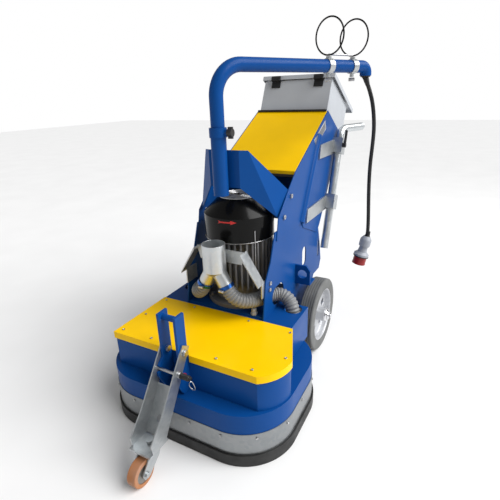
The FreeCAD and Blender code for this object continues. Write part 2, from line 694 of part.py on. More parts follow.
def rim():
    mid = WHEEL_IN + WHEEL_W / 2
    well = pipe((WHEEL_IN + 5, AXLE_Y, AXLE_Z), (WHEEL_IN + WHEEL_W - 5, AXLE_Y, AXLE_Z), RIM_R, RIM_R - 5)
    web = pipe((mid - 4, AXLE_Y, AXLE_Z), (mid + 4, AXLE_Y, AXLE_Z), RIM_R - 4, AXLE_R + RUN)
    hub = pipe((WHEEL_IN - 3, AXLE_Y, AXLE_Z), (WHEEL_IN + WHEEL_W + 11, AXLE_Y, AXLE_Z), 28, AXLE_R + RUN)
    solid = join([well, web, hub])
    for i in range(5):
        hole = rod((mid - 9, AXLE_Y + 68, AXLE_Z), (mid + 9, AXLE_Y + 68, AXLE_Z), 17)
        solid = solid.cut(turned(hole, 72 * i + 18, 0, AXLE_Y, AXLE_Z, (1, 0, 0)))
    return solid


# ---------------------------------------------------------------- castor arm

ARM_DY, ARM_DZ = KING_Y - PIVOT_Y, CASTOR_TOP - PIVOT_Z
ARM_LENGTH = math.hypot(ARM_DY, ARM_DZ)
ARM_U = (ARM_DY / ARM_LENGTH, ARM_DZ / ARM_LENGTH)     # (y, z) along the arm, away from the pivot
ARM_N = (-ARM_U[1], ARM_U[0])                          # (y, z) across the arm, towards the housing
PIN_Y = PIVOT_Y + ARM_U[0] * PIN_DROP
PIN_Z = PIVOT_Z + ARM_U[1] * PIN_DROP


def on_arm(along, across):
    y = PIVOT_Y + ARM_U[0] * along + ARM_N[0] * across
    return (y, PIVOT_Z + ARM_U[1] * along + ARM_N[1] * across)


def front_bracket():
    """Two plates on the housing front, a cross tube at the top, and an open notch for the lock pin."""
    notch_y = PIN_Y - PIN_R - 9
    outline = [
        (HOUSE_FRONT, HOOD_TOP + 2), (HOUSE_FRONT - 34, HOOD_TOP + 2), (notch_y, PIN_Z - 16),
        (notch_y, PIN_Z + 2), (PIN_Y - 3, PIN_Z + 19), (PIVOT_Y - 20, PIVOT_Z - 18), (PIVOT_Y - 20, BRACKET_TOP),
        (HOUSE_FRONT, BRACKET_TOP),
    ]
    low, high = BRACKET_X
    plate = prism(outline, "x", low, high)
    slot = rod((low - 1, PIN_Y, PIN_Z), (high + 1, PIN_Y, PIN_Z), PIN_R + 0.4)
    sweep = []
    for i in range(1, 6):
        angle = math.atan2(ARM_DZ, ARM_DY) - math.radians(4 * i)
        y, z = PIVOT_Y + PIN_DROP * math.cos(angle), PIVOT_Z + PIN_DROP * math.sin(angle)
        sweep.append(rod((low - 1, y, z), (high + 1, y, z), PIN_R + 0.4))
    opening = prism([(PIN_Y - 30, PIN_Z - PIN_R + 2), (PIN_Y, PIN_Z - PIN_R - 0.4), (PIN_Y, PIN_Z + PIN_R + 0.4),
                     (PIN_Y - 30, PIN_Z + PIN_R + 22)], "x", low - 1, high + 1)
    plate = plate.cut(join([slot, opening] + sweep))
    bolt_hole = rod((low - 1, PIVOT_Y, PIVOT_Z), (high + 1, PIVOT_Y, PIVOT_Z), PIVOT_R)
    plate = plate.cut(bolt_hole)
    tube = pipe((-low, PIVOT_Y, BRACKET_TOP - 16), (low, PIVOT_Y, BRACKET_TOP - 16), 9, 6)
    foot = block(-high, high, HOUSE_FRONT - 5, HOUSE_FRONT, HOOD_TOP + 2, HOOD_TOP + 60)
    return join([plate, mirrored(plate), tube, foot])


def pivot_bolts():
    out = []
    for side in (1, -1):
        bolt = rod((side * (BRACKET_X[0] - 7), PIVOT_Y, PIVOT_Z), (side * (ARM_X[1] + 1.5), PIVOT_Y, PIVOT_Z),
                   PIVOT_R)
        head = rod((side * (ARM_X[1] + 0.6), PIVOT_Y, PIVOT_Z), (side * (ARM_X[1] + 7), PIVOT_Y, PIVOT_Z), 10)
        nut = rod((side * (BRACKET_X[0] - 8), PIVOT_Y, PIVOT_Z), (side * BRACKET_X[0], PIVOT_Y, PIVOT_Z), 9.5)
        out.append(join([bolt, head, nut]))
    return out


def castor_arm():
    """Folded channel, open towards the front at its top, with the castor's plate at its foot."""
    low, high = ARM_X
    foot_z = CASTOR_TOP - 5
    outline = [
        on_arm(-22, -20), on_arm(-22, 14), on_arm(84, 18), on_arm(ARM_LENGTH - 20, 20),
        (KING_Y + 34, foot_z), (KING_Y - 30, foot_z), (KING_Y - 34, foot_z + 34), on_arm(ARM_LENGTH - 80, -30),
    ]
    flange = prism(outline, "x", low, high)
    flange = flange.cut(rod((low - 1, PIVOT_Y, PIVOT_Z), (high + 1, PIVOT_Y, PIVOT_Z), PIVOT_R + RUN))
    flange = flange.cut(rod((low - 1, PIN_Y, PIN_Z), (high + 1, PIN_Y, PIN_Z), PIN_R + RUN))
    web_low, web_high = on_arm(ARM_LENGTH - 20, 20), on_arm(104, 18)
    web = prism([web_high, web_low, (web_low[0] - 4, web_low[1] - 3), (web_high[0] - 4, web_high[1] - 3)],
                "x", -low, low)
    hole_at = on_arm(ARM_LENGTH - 62, 0)
    web = web.cut(rod((0, hole_at[0] - 40, hole_at[1] + 25), (0, hole_at[0] + 40, hole_at[1] - 25), 11))
    plate = block(-high, high, KING_Y - 44, KING_Y + 34, foot_z, CASTOR_TOP)
    plate = plate.cut(rod((0, KING_Y, foot_z - 5), (0, KING_Y, CASTOR_TOP + 5), 6 + RUN))
    return join([flange, mirrored(flange), web, plate])


def castor_fork():
    """Swivel head, kingpin, two cheeks and the wheel's axle bolt."""
    top = CASTOR_TOP - 6
    head = rod((0, KING_Y, top - 8), (0, KING_Y, top), 27)
    crown = block(-24, 24, KING_Y - 26, KING_Y + 22, top - 11, top - 8)
    king = rod((0, KING_Y, top - 8), (0, KING_Y, CASTOR_TOP + 10), 6)
    nut = rod((0, KING_Y, CASTOR_TOP + 0.6), (0, KING_Y, CASTOR_TOP + 10), 10)
    outline = [(KING_Y + 20, top - 8), (KING_Y - 26, top - 8), (CASTOR_Y - 14, CASTOR_R + 6),
               (CASTOR_Y - 8, CASTOR_R - 14), (CASTOR_Y + 12, CASTOR_R - 14), (KING_Y + 8, top - 34)]
    half = CASTOR_W / 2
    cheek = prism(outline, "x", half + 3, half + 7)
    bolt = rod((-half - 12, CASTOR_Y, CASTOR_R), (half + 12, CASTOR_Y, CASTOR_R), 5)
    heads = [rod((s * (half + 7), CASTOR_Y, CASTOR_R), (s * (half + 12), CASTOR_Y, CASTOR_R), 8) for s in (1, -1)]
    return join([head, crown, king, nut, cheek, mirrored(cheek), bolt] + heads)


def castor_tyre():
    half = CASTOR_W / 2
    solid = pipe((-half, CASTOR_Y, CASTOR_R), (half, CASTOR_Y, CASTOR_R), CASTOR_R, CASTOR_R - 12)
    edges = [e for e in solid.Edges if e.Curve.TypeId == "Part::GeomCircle"
             and abs(e.Curve.Radius - CASTOR_R) < 0.1]
    return solid.makeFillet(3, edges)


def castor_hub():
    half = CASTOR_W / 2
    core = pipe((-half + 2, CASTOR_Y, CASTOR_R), (half - 2, CASTOR_Y, CASTOR_R), CASTOR_R - 12, 5 + RUN)
    boss = pipe((-half - 2, CASTOR_Y, CASTOR_R), (half + 2, CASTOR_Y, CASTOR_R), 11, 5 + RUN)
    return core.fuse(boss)


def lock_pin():
    """Pin through the arm and both bracket plates; its collar stops it at the arm."""
    reach = ARM_X[1]
    pin = rod((-reach - 8, PIN_Y, PIN_Z), (reach + 26, PIN_Y, PIN_Z), PIN_R)
    return pin.fuse(rod((reach + 1, PIN_Y, PIN_Z), (reach + 6, PIN_Y, PIN_Z), 9))


def pin_lanyard():
    """Wire loop that hangs from the grip's end, to pull the pin with."""
    return swept(bent_path(LANYARD_POINTS, soft_radii(LANYARD_POINTS)), LANYARD_R)


def pin_grip():
    reach = ARM_X[1]
    handle = rod((reach + 6, PIN_Y, PIN_Z), (reach + 36, PIN_Y, PIN_Z), 8.5)
    cap = rod((reach + 36, PIN_Y, PIN_Z), (reach + 42, PIN_Y, PIN_Z), 6.5)
    return handle.fuse(cap).cut(rod((reach, PIN_Y, PIN_Z), (reach + 26, PIN_Y, PIN_Z), PIN_R))


# ---------------------------------------------------------------- boom, rings, cord, plug


def along_boom(distance, z):
    return (BOOM_DIR[0] * distance, BOOM_Y + BOOM_DIR[1] * distance, z)


def boom_points():
    return [(0, BOOM_Y, SLEEVE_Z[0] + 4), (0, BOOM_Y, BOOM_Z), along_boom(BOOM_REACH, BOOM_Z),
            along_boom(BOOM_REACH, BOOM_END_Z)]


def boom_tube():
    bends = (BOOM_BEND, BOOM_END_BEND)
    path = bent_path(boom_points(), bends)
    return swept(path, BOOM_R).cut(swept(path, BOOM_R - BOOM_WALL))


def guide_rings():
    """Two wire rings above the boom, each on a short stem."""
    out = []
    low = BOOM_Z + BOOM_R + 5
    for distance in RING_AT:
        x, y, z = along_boom(distance, low + 8 + RING_R)
        loop = Part.makeTorus(RING_R, RING_WIRE, V(x, y, z), V(RING_NORMAL[0], RING_NORMAL[1], 0))
        stem = rod((x, y, BOOM_Z + BOOM_R + 3), (x, y, z - RING_R + 1), RING_WIRE)
        out.append(loop.fuse(stem))
    return out


def ring_clamps():
    """Galvanised clips round the boom under each ring, tied by a flat bar."""
    out = []
    for distance in RING_AT:
        a, b = along_boom(distance - 12, BOOM_Z), along_boom(distance + 12, BOOM_Z)
        band = pipe(a, b, BOOM_R + 3, BOOM_R)
        x, y, z = along_boom(distance, BOOM_Z + BOOM_R + 2)
        nut = rod((x, y, z), (x, y, z + 7), 9).cut(rod((x, y, z), (x, y, z + 12), RING_WIRE))
        x, y, z = along_boom(distance, BOOM_Z - BOOM_R - 2)
        ear = rod((x, y, z - 12), (x, y, z), 7)
        out.append(join([band, nut, ear]))
    return out


def plug_axis():
    d = V(*PLUG_DIR)
    d.normalize()
    return V(*CORD_POINTS[-1]), d


def plug_piece(start, end, radius, end_radius=None):
    """A round piece on the plug's axis, from start to end below the cord's end."""
    base, d = plug_axis()
    if end_radius is None:
        return Part.makeCylinder(radius, end - start, base + d * start, d)
    return Part.makeCone(radius, end_radius, end - start, base + d * start, d)


def plug_body():
    """Cable gland, grip and contact carrier of the plug, with its five pins."""
    gland = [plug_piece(0, 12, 14, 22), plug_piece(12, 46, 23)]
    grip = [plug_piece(46, 72, 17, 20), plug_piece(72, 82, 21, 31), plug_piece(82, 94, 32)]
    return join(gland + grip + [plug_piece(94, 106, 22)] + plug_pins())


def plug_collar():
    """Round front of the plug, hollow round its pins."""
    return plug_piece(94, 129, 28).cut(plug_piece(93, 130, 24.5))


def plug_pins():
    base, d = plug_axis()
    side = d.cross(V(0, 1, 0))
    side.normalize()
    out = []
    for i in range(5):
        offset = FreeCAD.Rotation(d, 72 * i).multVec(side) * 15
        out.append(Part.makeCylinder(3.0, 22, base + d * 104 + offset, d))
    return out


def cord_gland():
    x, y, z = CORD_POINTS[0]
    return pipe((x, y, z), (x, y, BOOM_END_Z + 4), BOOM_R - BOOM_WALL, CORD_R)


# ---------------------------------------------------------------- handles

HANDLE_SLOPE = math.hypot(HANDLE_BEND[0] - HANDLE_FOOT[0], HANDLE_BEND[1] - HANDLE_FOOT[1])
HANDLE_U = ((HANDLE_BEND[0] - HANDLE_FOOT[0]) / HANDLE_SLOPE, (HANDLE_BEND[1] - HANDLE_FOOT[1]) / HANDLE_SLOPE)


def handle_at(z):
    """(y, z) on the handle's straight part at a height."""
    return (HANDLE_FOOT[0] + (z - HANDLE_FOOT[1]) * HANDLE_U[0] / HANDLE_U[1], z)


def handle():
    """Bent tube with a closed end at the grip."""
    foot = (HANDLE_X, HANDLE_FOOT[0], HANDLE_FOOT[1])
    bend = (HANDLE_X, HANDLE_BEND[0], HANDLE_BEND[1])
    end = V(HANDLE_END[0], HANDLE_END[1], HANDLE_BEND[1])
    inward = V(*bend) - end
    inward.normalize()
    bore_end = end + inward * HANDLE_WALL
    outside = swept(bent_path([foot, bend, (end.x, end.y, end.z)], [HANDLE_BEND_R]), HANDLE_R)
    bore = swept(bent_path([foot, bend, (bore_end.x, bore_end.y, bore_end.z)], [HANDLE_BEND_R]),
                 HANDLE_R - HANDLE_WALL)
    return outside.cut(bore)


def clamp_block(z):
    """A block bored for the handle, with a strap that runs forward to the column's rail."""
    y, _ = handle_at(z)
    u, half = HANDLE_U, CLAMP_H / 2
    n = (-u[1], u[0])
    reach = 28
    rail_y = RIB_LINE[1][0] + (z - RIB_LINE[1][1]) * (RIB_LINE[0][0] - RIB_LINE[1][0]) / (
        RIB_LINE[0][1] - RIB_LINE[1][1])

    def point(along, across):
        return (y + u[0] * along + n[0] * across, z + u[1] * along + n[1] * across)

    body = prism([point(-half, -reach + 4), point(-half, reach), point(half, reach), point(half, -reach + 4)],
                 "x", PLATE_X + COLUMN_T, HANDLE_X + HANDLE_R + 5)
    inner = PLATE_X + COLUMN_T
    front = rail_y + RIB_R + 14
    strap = prism([(front, z - half * 0.85), point(-half, 0), point(half, 0), (front + 10, z + half * 0.85)],
                  "x", inner, inner + 7)
    a, b = point(-half - 5, 0), point(half + 5, 0)
    bore = rod((HANDLE_X, a[0], a[1]), (HANDLE_X, b[0], b[1]), HANDLE_R + SLIDE)
    slit = prism([point(-half - 1, 0), point(-half - 1, -60), point(half + 1, -60), point(half + 1, 0)],
                 "x", HANDLE_X - 1.5, HANDLE_X + 1.5)
    lever_at = point(0, reach - 6)
    stud = rod((inner - 1, lever_at[0], lever_at[1]), (HANDLE_X + 40, lever_at[0], lever_at[1]), 4 + RUN)
    return body.fuse(strap).cut(bore).cut(slit).cut(stud)


def handle_clamps():
    out = []
    for z in CLAMP_Z:
        piece = clamp_block(z)
        out += [piece, mirrored(piece)]
    return Part.makeCompound(out)


LEVER_X = (PLATE_X + COLUMN_T + 2, HANDLE_X + HANDLE_R + 5.6)
LEVER_Y = handle_at(CLAMP_Z[1])[0] - HANDLE_U[1] * 22
LEVER_Z = CLAMP_Z[1] + HANDLE_U[0] * 22


def clamp_lever():
    """Lever that tightens the upper clamp, on the right side."""
    stud = rod((LEVER_X[0], LEVER_Y, LEVER_Z), (LEVER_X[1] + 4, LEVER_Y, LEVER_Z), 4)
    hub = rod((LEVER_X[1], LEVER_Y, LEVER_Z), (LEVER_X[1] + 14, LEVER_Y, LEVER_Z), 10)
    tip = (LEVER_Y + HANDLE_U[0] * 62, LEVER_Z + HANDLE_U[1] * 62)
    arm = rod((LEVER_X[1] + 9, LEVER_Y, LEVER_Z), (LEVER_X[1] + 9, tip[0], tip[1]), 5.5)
    return join([stud, hub, arm])


# ---------------------------------------------------------------- cabinet


def tilted(u, v):
    """(y, z) from the cabinet's top front edge: u along the door, v down into the cabinet."""
    a = math.radians(CAB_TILT)
    return (CAB_FRONT[0] + u * math.cos(a) - v * math.sin(a), CAB_FRONT[1] - u * math.sin(a) - v * math.cos(a))


def tilted_box(x0, x1, u0, u1, v0, v1):
    return prism([tilted(u0, v0), tilted(u1, v0), tilted(u1, v1), tilted(u0, v1)], "x", x0, x1)


def tilted_rod(x, u, v0, v1, radius):
    (y0, z0), (y1, z1) = tilted(u, v0), tilted(u, v1)
    return rod((x, y0, z0), (x, y1, z1), radius)


def cabinet():
    low = DOOR_T + GAP
    outside = tilted_box(-CAB_HALF, CAB_HALF, 6, 6 + CAB_DEPTH, low, low + CAB_HEIGHT)
    inside = tilted_box(-CAB_HALF + CAB_WALL, CAB_HALF - CAB_WALL, 6 + CAB_WALL, 4 + CAB_DEPTH,
                        low - 1, low + CAB_HEIGHT - CAB_WALL)
    return outside.cut(inside)


def cabinet_door():
    """Tray-shaped door that overhangs the cabinet at the operator's side."""
    outside = tilted_box(-DOOR_HALF, DOOR_HALF, 0, DOOR_LENGTH, 0, DOOR_T)
    inside = tilted_box(-DOOR_HALF + 2, DOOR_HALF - 2, 2, DOOR_LENGTH - 2, 3, DOOR_T + 1)
    solid = outside.cut(inside)
    for (x, u), stem_r in DOOR_HOLES:
        solid = solid.cut(tilted_rod(x, u, -2, 6, stem_r + RUN))
    return solid


E_STOP = (95.0, 285.0)     # (x, u) on the door
START = (-30.0, 285.0)
STOP = (-75.0, 285.0)
HINGE_X = 95.0
HINGE_U, HINGE_V = -8.0, 12.0
LATCH = (0.0, 338.0)
STEM_R = 9.0               # stem of each button
LATCH_R = 5.0              # stem of the lock
DOOR_HOLES = ((E_STOP, STEM_R), (START, STEM_R), (STOP, STEM_R), (LATCH, LATCH_R))


def door_hinges():
    """Two black hinges: a knuckle with its leaf on the cabinet's front."""
    out = []
    for x in (-HINGE_X, HINGE_X):
        y, z = tilted(HINGE_U, HINGE_V)
        knuckle = rod((x - 20, y, z), (x + 20, y, z), 6)
        leaf = tilted_box(x - 20, x + 20, HINGE_U - 4, 5.5, DOOR_T + 2, DOOR_T + 34)
        leaf = leaf.cut(tilted_box(x - 25, x + 25, HINGE_U - 6, 2, DOOR_T + 8, DOOR_T + 40))
        neck = tilted_box(x - 20, x + 20, HINGE_U - 4, HINGE_U + 4, HINGE_V, DOOR_T + 4)
        out.append(join([knuckle, neck, leaf]))
    return out


def push_button(place, head_r, head_h):
    """A button that stands out of the door and slides in it."""
    x, u = place
    return tilted_rod(x, u, -head_h, -BUTTON_TRAVEL, head_r).fuse(tilted_rod(x, u, -BUTTON_TRAVEL, 10, STEM_R))


def door_latch():
    """Quarter-turn lock near the door's free edge."""
    x, u = LATCH
    return tilted_rod(x, u, -7, -GAP, 10).fuse(tilted_rod(x, u, -GAP, 12, LATCH_R))


# ---------------------------------------------------------------- dust port


def dust_port():
    """Vertical inlet tube that splits into two legs."""
    fork = V(0, PORT_Y, PORT_FORK)
    x, y, z = HOSE_POINTS[0]

    def body(inset, over):
        shapes = [Part.makeCylinder(PORT_R - inset, PORT_TOP - PORT_LOW + over, V(0, PORT_Y, PORT_LOW))]
        shapes.append(Part.makeCone(LEG_R - inset, PORT_R - inset, PORT_CONE, V(0, PORT_Y, PORT_LOW - PORT_CONE)))
        for side in (1, -1):
            d = V(side * x, y, z) - fork
            length = d.Length + over
            d.normalize()
            shapes.append(Part.makeCylinder(LEG_R - inset, length, fork, d))
        return join(shapes)

    return body(0, 0).cut(body(PORT_WALL, 2))


def port_strap():
    """Bent flat bar that holds the dust port between the leg plates."""
    back = PORT_Y + PORT_R
    inner = PLATE_X - PLATE_T
    level = (490, 535)
    knee = 92
    middle = prism([(-knee, level[1]), (knee, level[1]), (knee - 12, level[0]), (-knee + 12, level[0])],
                   "y", back, back + 4)
    slope = prism([(knee - 3, level[1]), (inner - 1, 436), (inner - 1, 430), (knee - 6, level[1] - 6)],
                  "y", back - 26, back + 18)
    tab = block(inner - 4.5, inner - 0.5, back + 2, back + 62, 380, 436)
    return join([middle, slope, tab, mirrored(slope.fuse(tab))])


def dust_hose():
    radii = soft_radii(HOSE_POINTS)
    path = bent_path(HOSE_POINTS, radii)
    return swept(path, HOSE_R).cut(swept(path, HOSE_BORE))


def hose_clamps():
    (x0, y0, z0), (x1, y1, z1) = HOSE_POINTS[0], HOSE_POINTS[1]
    a, b = V(x0, y0, z0), V(x1, y1, z1)
    d = b - a
    d.normalize()
    start = a + d * 0.6
    band = Part.makeCylinder(HOSE_R + 2.5, 12, start, d).cut(Part.makeCylinder(HOSE_R + 0.2, 12, start, d))
    return both_sides(band)


LEAD_R = 6.0
LEAD_POINTS = (
    (112.0, -226.0, 324.0), (107.0, -213.0, 325.0), (98.0, -194.0, 328.0), (97.0, -165.0, 332.0),
    (106.0, -130.0, 335.0), (108.0, -95.0, 337.0), (102.0, -58.0, 342.0), (92.0, -24.0, 358.0),
    (80.0, -2.0, 388.0), (76.0, 8.0, 420.0), (73.0, 10.0, 446.0), (65.0, 10.0, 460.0),
    (MOTOR_BOX_HALF + 0.3, 10.0, 460.0),
)


def motor_lead():
    """Cable gland on the motor plate with its conduit, which runs back beside the motor to the terminal box."""
    x, y, z = LEAD_POINTS[0]
    base = HOUSE_TOP + MOTOR_PLATE
    gland = rod((x, y - 6, base), (x, y - 6, base + 9), 12)
    elbow = rod((x, y - 6, base + 9), (x, y - 6, base + 22), 9)
    conduit = swept(bent_path(LEAD_POINTS, soft_radii(LEAD_POINTS)), LEAD_R)
    return join([gland, elbow, conduit])


PARTS = {
    "lower_hood": lower_hood, "skirt_band": skirt_band, "rubber_skirt": rubber_skirt,
    "upper_housing": upper_housing, "lid": lid, "housing_screws": housing_screws, "bearings": bearings,
    "drive_belt": tangent_belt, "motor_body": motor_body, "fan_cowl": fan_cowl,
    "motor_shaft": motor_shaft, "cooling_fan": cooling_fan,
    "left_spindle": lambda: spindle(-HEAD_X), "right_spindle": lambda: spindle(HEAD_X),
    "left_disc": lambda: disc(-HEAD_X), "right_disc": lambda: disc(HEAD_X),
    "leg_plates": lambda: both_sides(leg_plate()), "column": column, "upper_panel": upper_panel,
    "motor_shroud": motor_shroud, "boom_sleeve": boom_sleeve, "boom_knob": boom_knob,
    "frame_bolts": frame_bolts,
    "axle": axle, "right_tyre": tyre, "right_rim": rim,
    "left_tyre": lambda: mirrored(tyre()), "left_rim": lambda: mirrored(rim()),
    "front_bracket": front_bracket,
    "castor_arm": castor_arm, "castor_fork": castor_fork, "castor_tyre": castor_tyre,
    "castor_hub": castor_hub, "lock_pin": lock_pin, "pin_grip": pin_grip, "pin_lanyard": pin_lanyard,
    "boom_tube": boom_tube, "guide_rings": lambda: Part.makeCompound(guide_rings()),
    "ring_clamps": lambda: Part.makeCompound(ring_clamps()),
    "supply_cord": lambda: swept(bent_path(CORD_POINTS, soft_radii(CORD_POINTS)), CORD_R),
    "plug_body": plug_body, "plug_collar": plug_collar,
    "cord_gland": cord_gland,
    "right_handle": handle, "left_handle": lambda: mirrored(handle()),
    "handle_clamps": handle_clamps, "right_clamp_lever": clamp_lever,
    "left_clamp_lever": lambda: mirrored(clamp_lever()),
    "cabinet": cabinet, "cabinet_door": cabinet_door, "door_hinges": lambda: Part.makeCompound(door_hinges()),
    "emergency_stop": lambda: push_button(E_STOP, 20, 24),
    "start_button": lambda: push_button(START, 14, 9),
    "stop_button": lambda: push_button(STOP, 14, 9),
    "door_latch": door_latch,
    "dust_port": dust_port, "port_strap": port_strap, "dust_hoses": lambda: both_sides(dust_hose()),
    "hose_clamps": hose_clamps, "motor_lead": motor_lead,
}


def print_route(name, points, radius, bore=0.0):
    """Prints a cord's bend radii, its length, and its volume against section times length."""
    radii = soft_radii(points)
    path = bent_path(points, radii)
    solid = swept(path, radius)
    if bore:
        solid = solid.cut(swept(path, bore))
    section = math.pi * (radius ** 2 - bore ** 2)
    print(name, "radii", [round(r) for r in radii], "length", round(path.Length),
          "volume", round(solid.Volume), "section x length", round(section * path.Length))


if __name__ == "__main__":
    os.makedirs("parts", exist_ok=True)
    for name, make in PARTS.items():
        shape = make()
        shape.exportStep(f"parts/{name}.step")
        bounds = shape.BoundBox
        print(f"{name:20s} solids {len(shape.Solids):2d}  valid {shape.isValid()}  volume {shape.Volume / 1000:9.1f} cm3"
              f"  x {bounds.XMin:.0f}..{bounds.XMax:.0f} y {bounds.YMin:.0f}..{bounds.YMax:.0f}"
              f" z {bounds.ZMin:.0f}..{bounds.ZMax:.0f}")
    print_route("supply_cord", CORD_POINTS, CORD_R)
    print_route("pin_lanyard", LANYARD_POINTS, LANYARD_R)
    print_route("dust_hoses", HOSE_POINTS, HOSE_R, HOSE_BORE)
    print_route("motor_lead", LEAD_POINTS, LEAD_R)
    print(len(PARTS), "sub-parts")
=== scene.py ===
# %% [markdown]
# # A walk-behind floor grinder
# The machine is welded and folded sheet steel on three wheels, with an upright motor, two grinding
# discs under a skirted hood, a cable boom and a control cabinet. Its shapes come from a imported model,
# which is loaded as a fixed frame. Blender adds the looks: softened sheet edges, ribbed hoses, cords,
# small fittings, and the finish of every surface.

# %% Load the frame
import json
import math

import bpy
from mathutils import Matrix, Vector

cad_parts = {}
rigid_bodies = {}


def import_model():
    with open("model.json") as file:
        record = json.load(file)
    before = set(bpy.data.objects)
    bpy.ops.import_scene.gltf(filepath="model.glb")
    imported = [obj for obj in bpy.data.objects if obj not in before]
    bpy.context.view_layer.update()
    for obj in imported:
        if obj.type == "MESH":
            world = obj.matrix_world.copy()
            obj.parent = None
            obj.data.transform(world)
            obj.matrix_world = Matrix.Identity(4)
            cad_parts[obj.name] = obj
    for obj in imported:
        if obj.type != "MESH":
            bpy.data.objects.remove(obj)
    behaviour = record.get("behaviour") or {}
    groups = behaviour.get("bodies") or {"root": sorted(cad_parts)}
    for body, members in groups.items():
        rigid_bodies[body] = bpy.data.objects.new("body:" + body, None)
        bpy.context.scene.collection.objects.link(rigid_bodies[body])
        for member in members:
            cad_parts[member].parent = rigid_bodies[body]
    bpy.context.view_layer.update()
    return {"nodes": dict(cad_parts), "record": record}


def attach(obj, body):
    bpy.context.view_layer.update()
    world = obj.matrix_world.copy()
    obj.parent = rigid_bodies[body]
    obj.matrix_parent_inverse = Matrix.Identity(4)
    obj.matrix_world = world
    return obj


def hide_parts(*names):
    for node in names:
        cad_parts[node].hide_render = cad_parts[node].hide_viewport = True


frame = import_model()
MM = 0.001

# %% [markdown]
# ## Camera
# The machine is seen from its right front, from about the height of the boom, with a fairly wide lens,
# so that the castor looms and the cabinet runs away. The camera could be aimed at a target point. It
# is set by its place, its heading, its downward tilt and a slight roll instead, because each of these
# can then be adjusted by itself.

# %% Camera
CAMERA_PLACE = Vector((0.663, -1.265, 1.000))
HEADING = math.radians(28.42)
DOWNWARD = math.radians(21.33)
ROLL = math.radians(-1.85)
LENS = 28.39
SENSOR_WIDTH = 36
FAR_AWAY = 50

ahead = Vector((-math.sin(HEADING) * math.cos(DOWNWARD), math.cos(HEADING) * math.cos(DOWNWARD),
                -math.sin(DOWNWARD)))
level_right = ahead.cross(Vector((0, 0, 1))).normalized()
level_up = level_right.cross(ahead)
right = level_right * math.cos(ROLL) + level_up * math.sin(ROLL)
up = right.cross(ahead)
camera = bpy.data.objects.new("camera", bpy.data.cameras.new("camera"))
bpy.context.scene.collection.objects.link(camera)
camera.data.lens = LENS
camera.data.sensor_width = SENSOR_WIDTH
camera.data.clip_end = FAR_AWAY
turn = Matrix((right, up, -ahead)).transposed()
camera.matrix_world = Matrix.Translation(CAMERA_PLACE) @ turn.to_4x4()
bpy.context.scene.camera = camera
print("camera looks along", tuple(round(c, 3) for c in ahead))

# %% [markdown]
# ## Helpers for node materials
# A real finish is never one flat value: paint has a faint mottle and orange peel, zinc has spangles,
# rubber has dust. Each material starts from one Principled shader, and small helpers add a pattern to
# its colour, its roughness or its surface. All patterns read Object coordinates, so they stay on the
# piece when it moves.


# %% Material helpers
def begin(name, color, metallic=0.0, roughness=0.5):
    material = bpy.data.materials.new(name)
    material.use_nodes = True
    shader = material.node_tree.nodes["Principled BSDF"]
    shader.inputs["Base Color"].default_value = (*color, 1)
    shader.inputs["Metallic"].default_value = metallic
    shader.inputs["Roughness"].default_value = roughness
    return material, material.node_tree, shader


def place_on_piece(tree, stretch=(1, 1, 1)):
    """Object coordinates, stretched along the axes."""
    source = tree.nodes.new("ShaderNodeTexCoord")
    mapping = tree.nodes.new("ShaderNodeMapping")
    mapping.inputs["Scale"].default_value = stretch
    tree.links.new(source.outputs["Object"], mapping.inputs["Vector"])
    return mapping.outputs["Vector"]


def noise(tree, scale, detail=3.0, stretch=(1, 1, 1)):
    pattern = tree.nodes.new("ShaderNodeTexNoise")
    pattern.inputs["Scale"].default_value = scale
    pattern.inputs["Detail"].default_value = detail
    tree.links.new(place_on_piece(tree, stretch), pattern.inputs["Vector"])
    return pattern.outputs["Fac"]


def spangle(tree, scale):
    """One random grey for each crystal of zinc."""
    pattern = tree.nodes.new("ShaderNodeTexVoronoi")
    pattern.inputs["Scale"].default_value = scale
    tree.links.new(place_on_piece(tree), pattern.inputs["Vector"])
    return pattern.outputs["Color"]


def between(tree, value, low, high, from_low=0.3, from_high=0.7):
    """The pattern's middle range, spread between two numbers."""
    spread = tree.nodes.new("ShaderNodeMapRange")
    spread.inputs["From Min"].default_value = from_low
    spread.inputs["From Max"].default_value = from_high
    spread.inputs["To Min"].default_value = low
    spread.inputs["To Max"].default_value = high
    tree.links.new(value, spread.inputs["Value"])
    return spread.outputs["Result"]


def shades(tree, value, low_color, high_color, from_low=0.3, from_high=0.7):
    """The pattern turned into a run between two colours."""
    ramp = tree.nodes.new("ShaderNodeValToRGB")
    ramp.color_ramp.elements[0].position = from_low
    ramp.color_ramp.elements[1].position = from_high
    ramp.color_ramp.elements[0].color = (*low_color, 1)
    ramp.color_ramp.elements[1].color = (*high_color, 1)
    tree.links.new(value, ramp.inputs["Fac"])
    return ramp.outputs["Color"]


def relief(tree, shader, value, depth, strength=1.0):
    bump = tree.nodes.new("ShaderNodeBump")
    bump.inputs["Strength"].default_value = strength
    bump.inputs["Distance"].default_value = depth
    tree.links.new(value, bump.inputs["Height"])
    tree.links.new(bump.outputs["Normal"], shader.inputs["Normal"])


def tint(color, factor):
    return tuple(min(c * factor, 1.0) for c in color)


print("material helpers ready")

# %% [markdown]
# ## Powder coat
# The steelwork is powder coated: a thick, even skin with a fine orange peel and a soft gloss. A flat
# colour would look like plastic. A slow noise gives a very faint mottle, another makes the gloss
# wander a little, as it does where the coat was thinner, and a fine one gives the orange peel. The
# silver of the rims is the same coat with metal flakes in it.


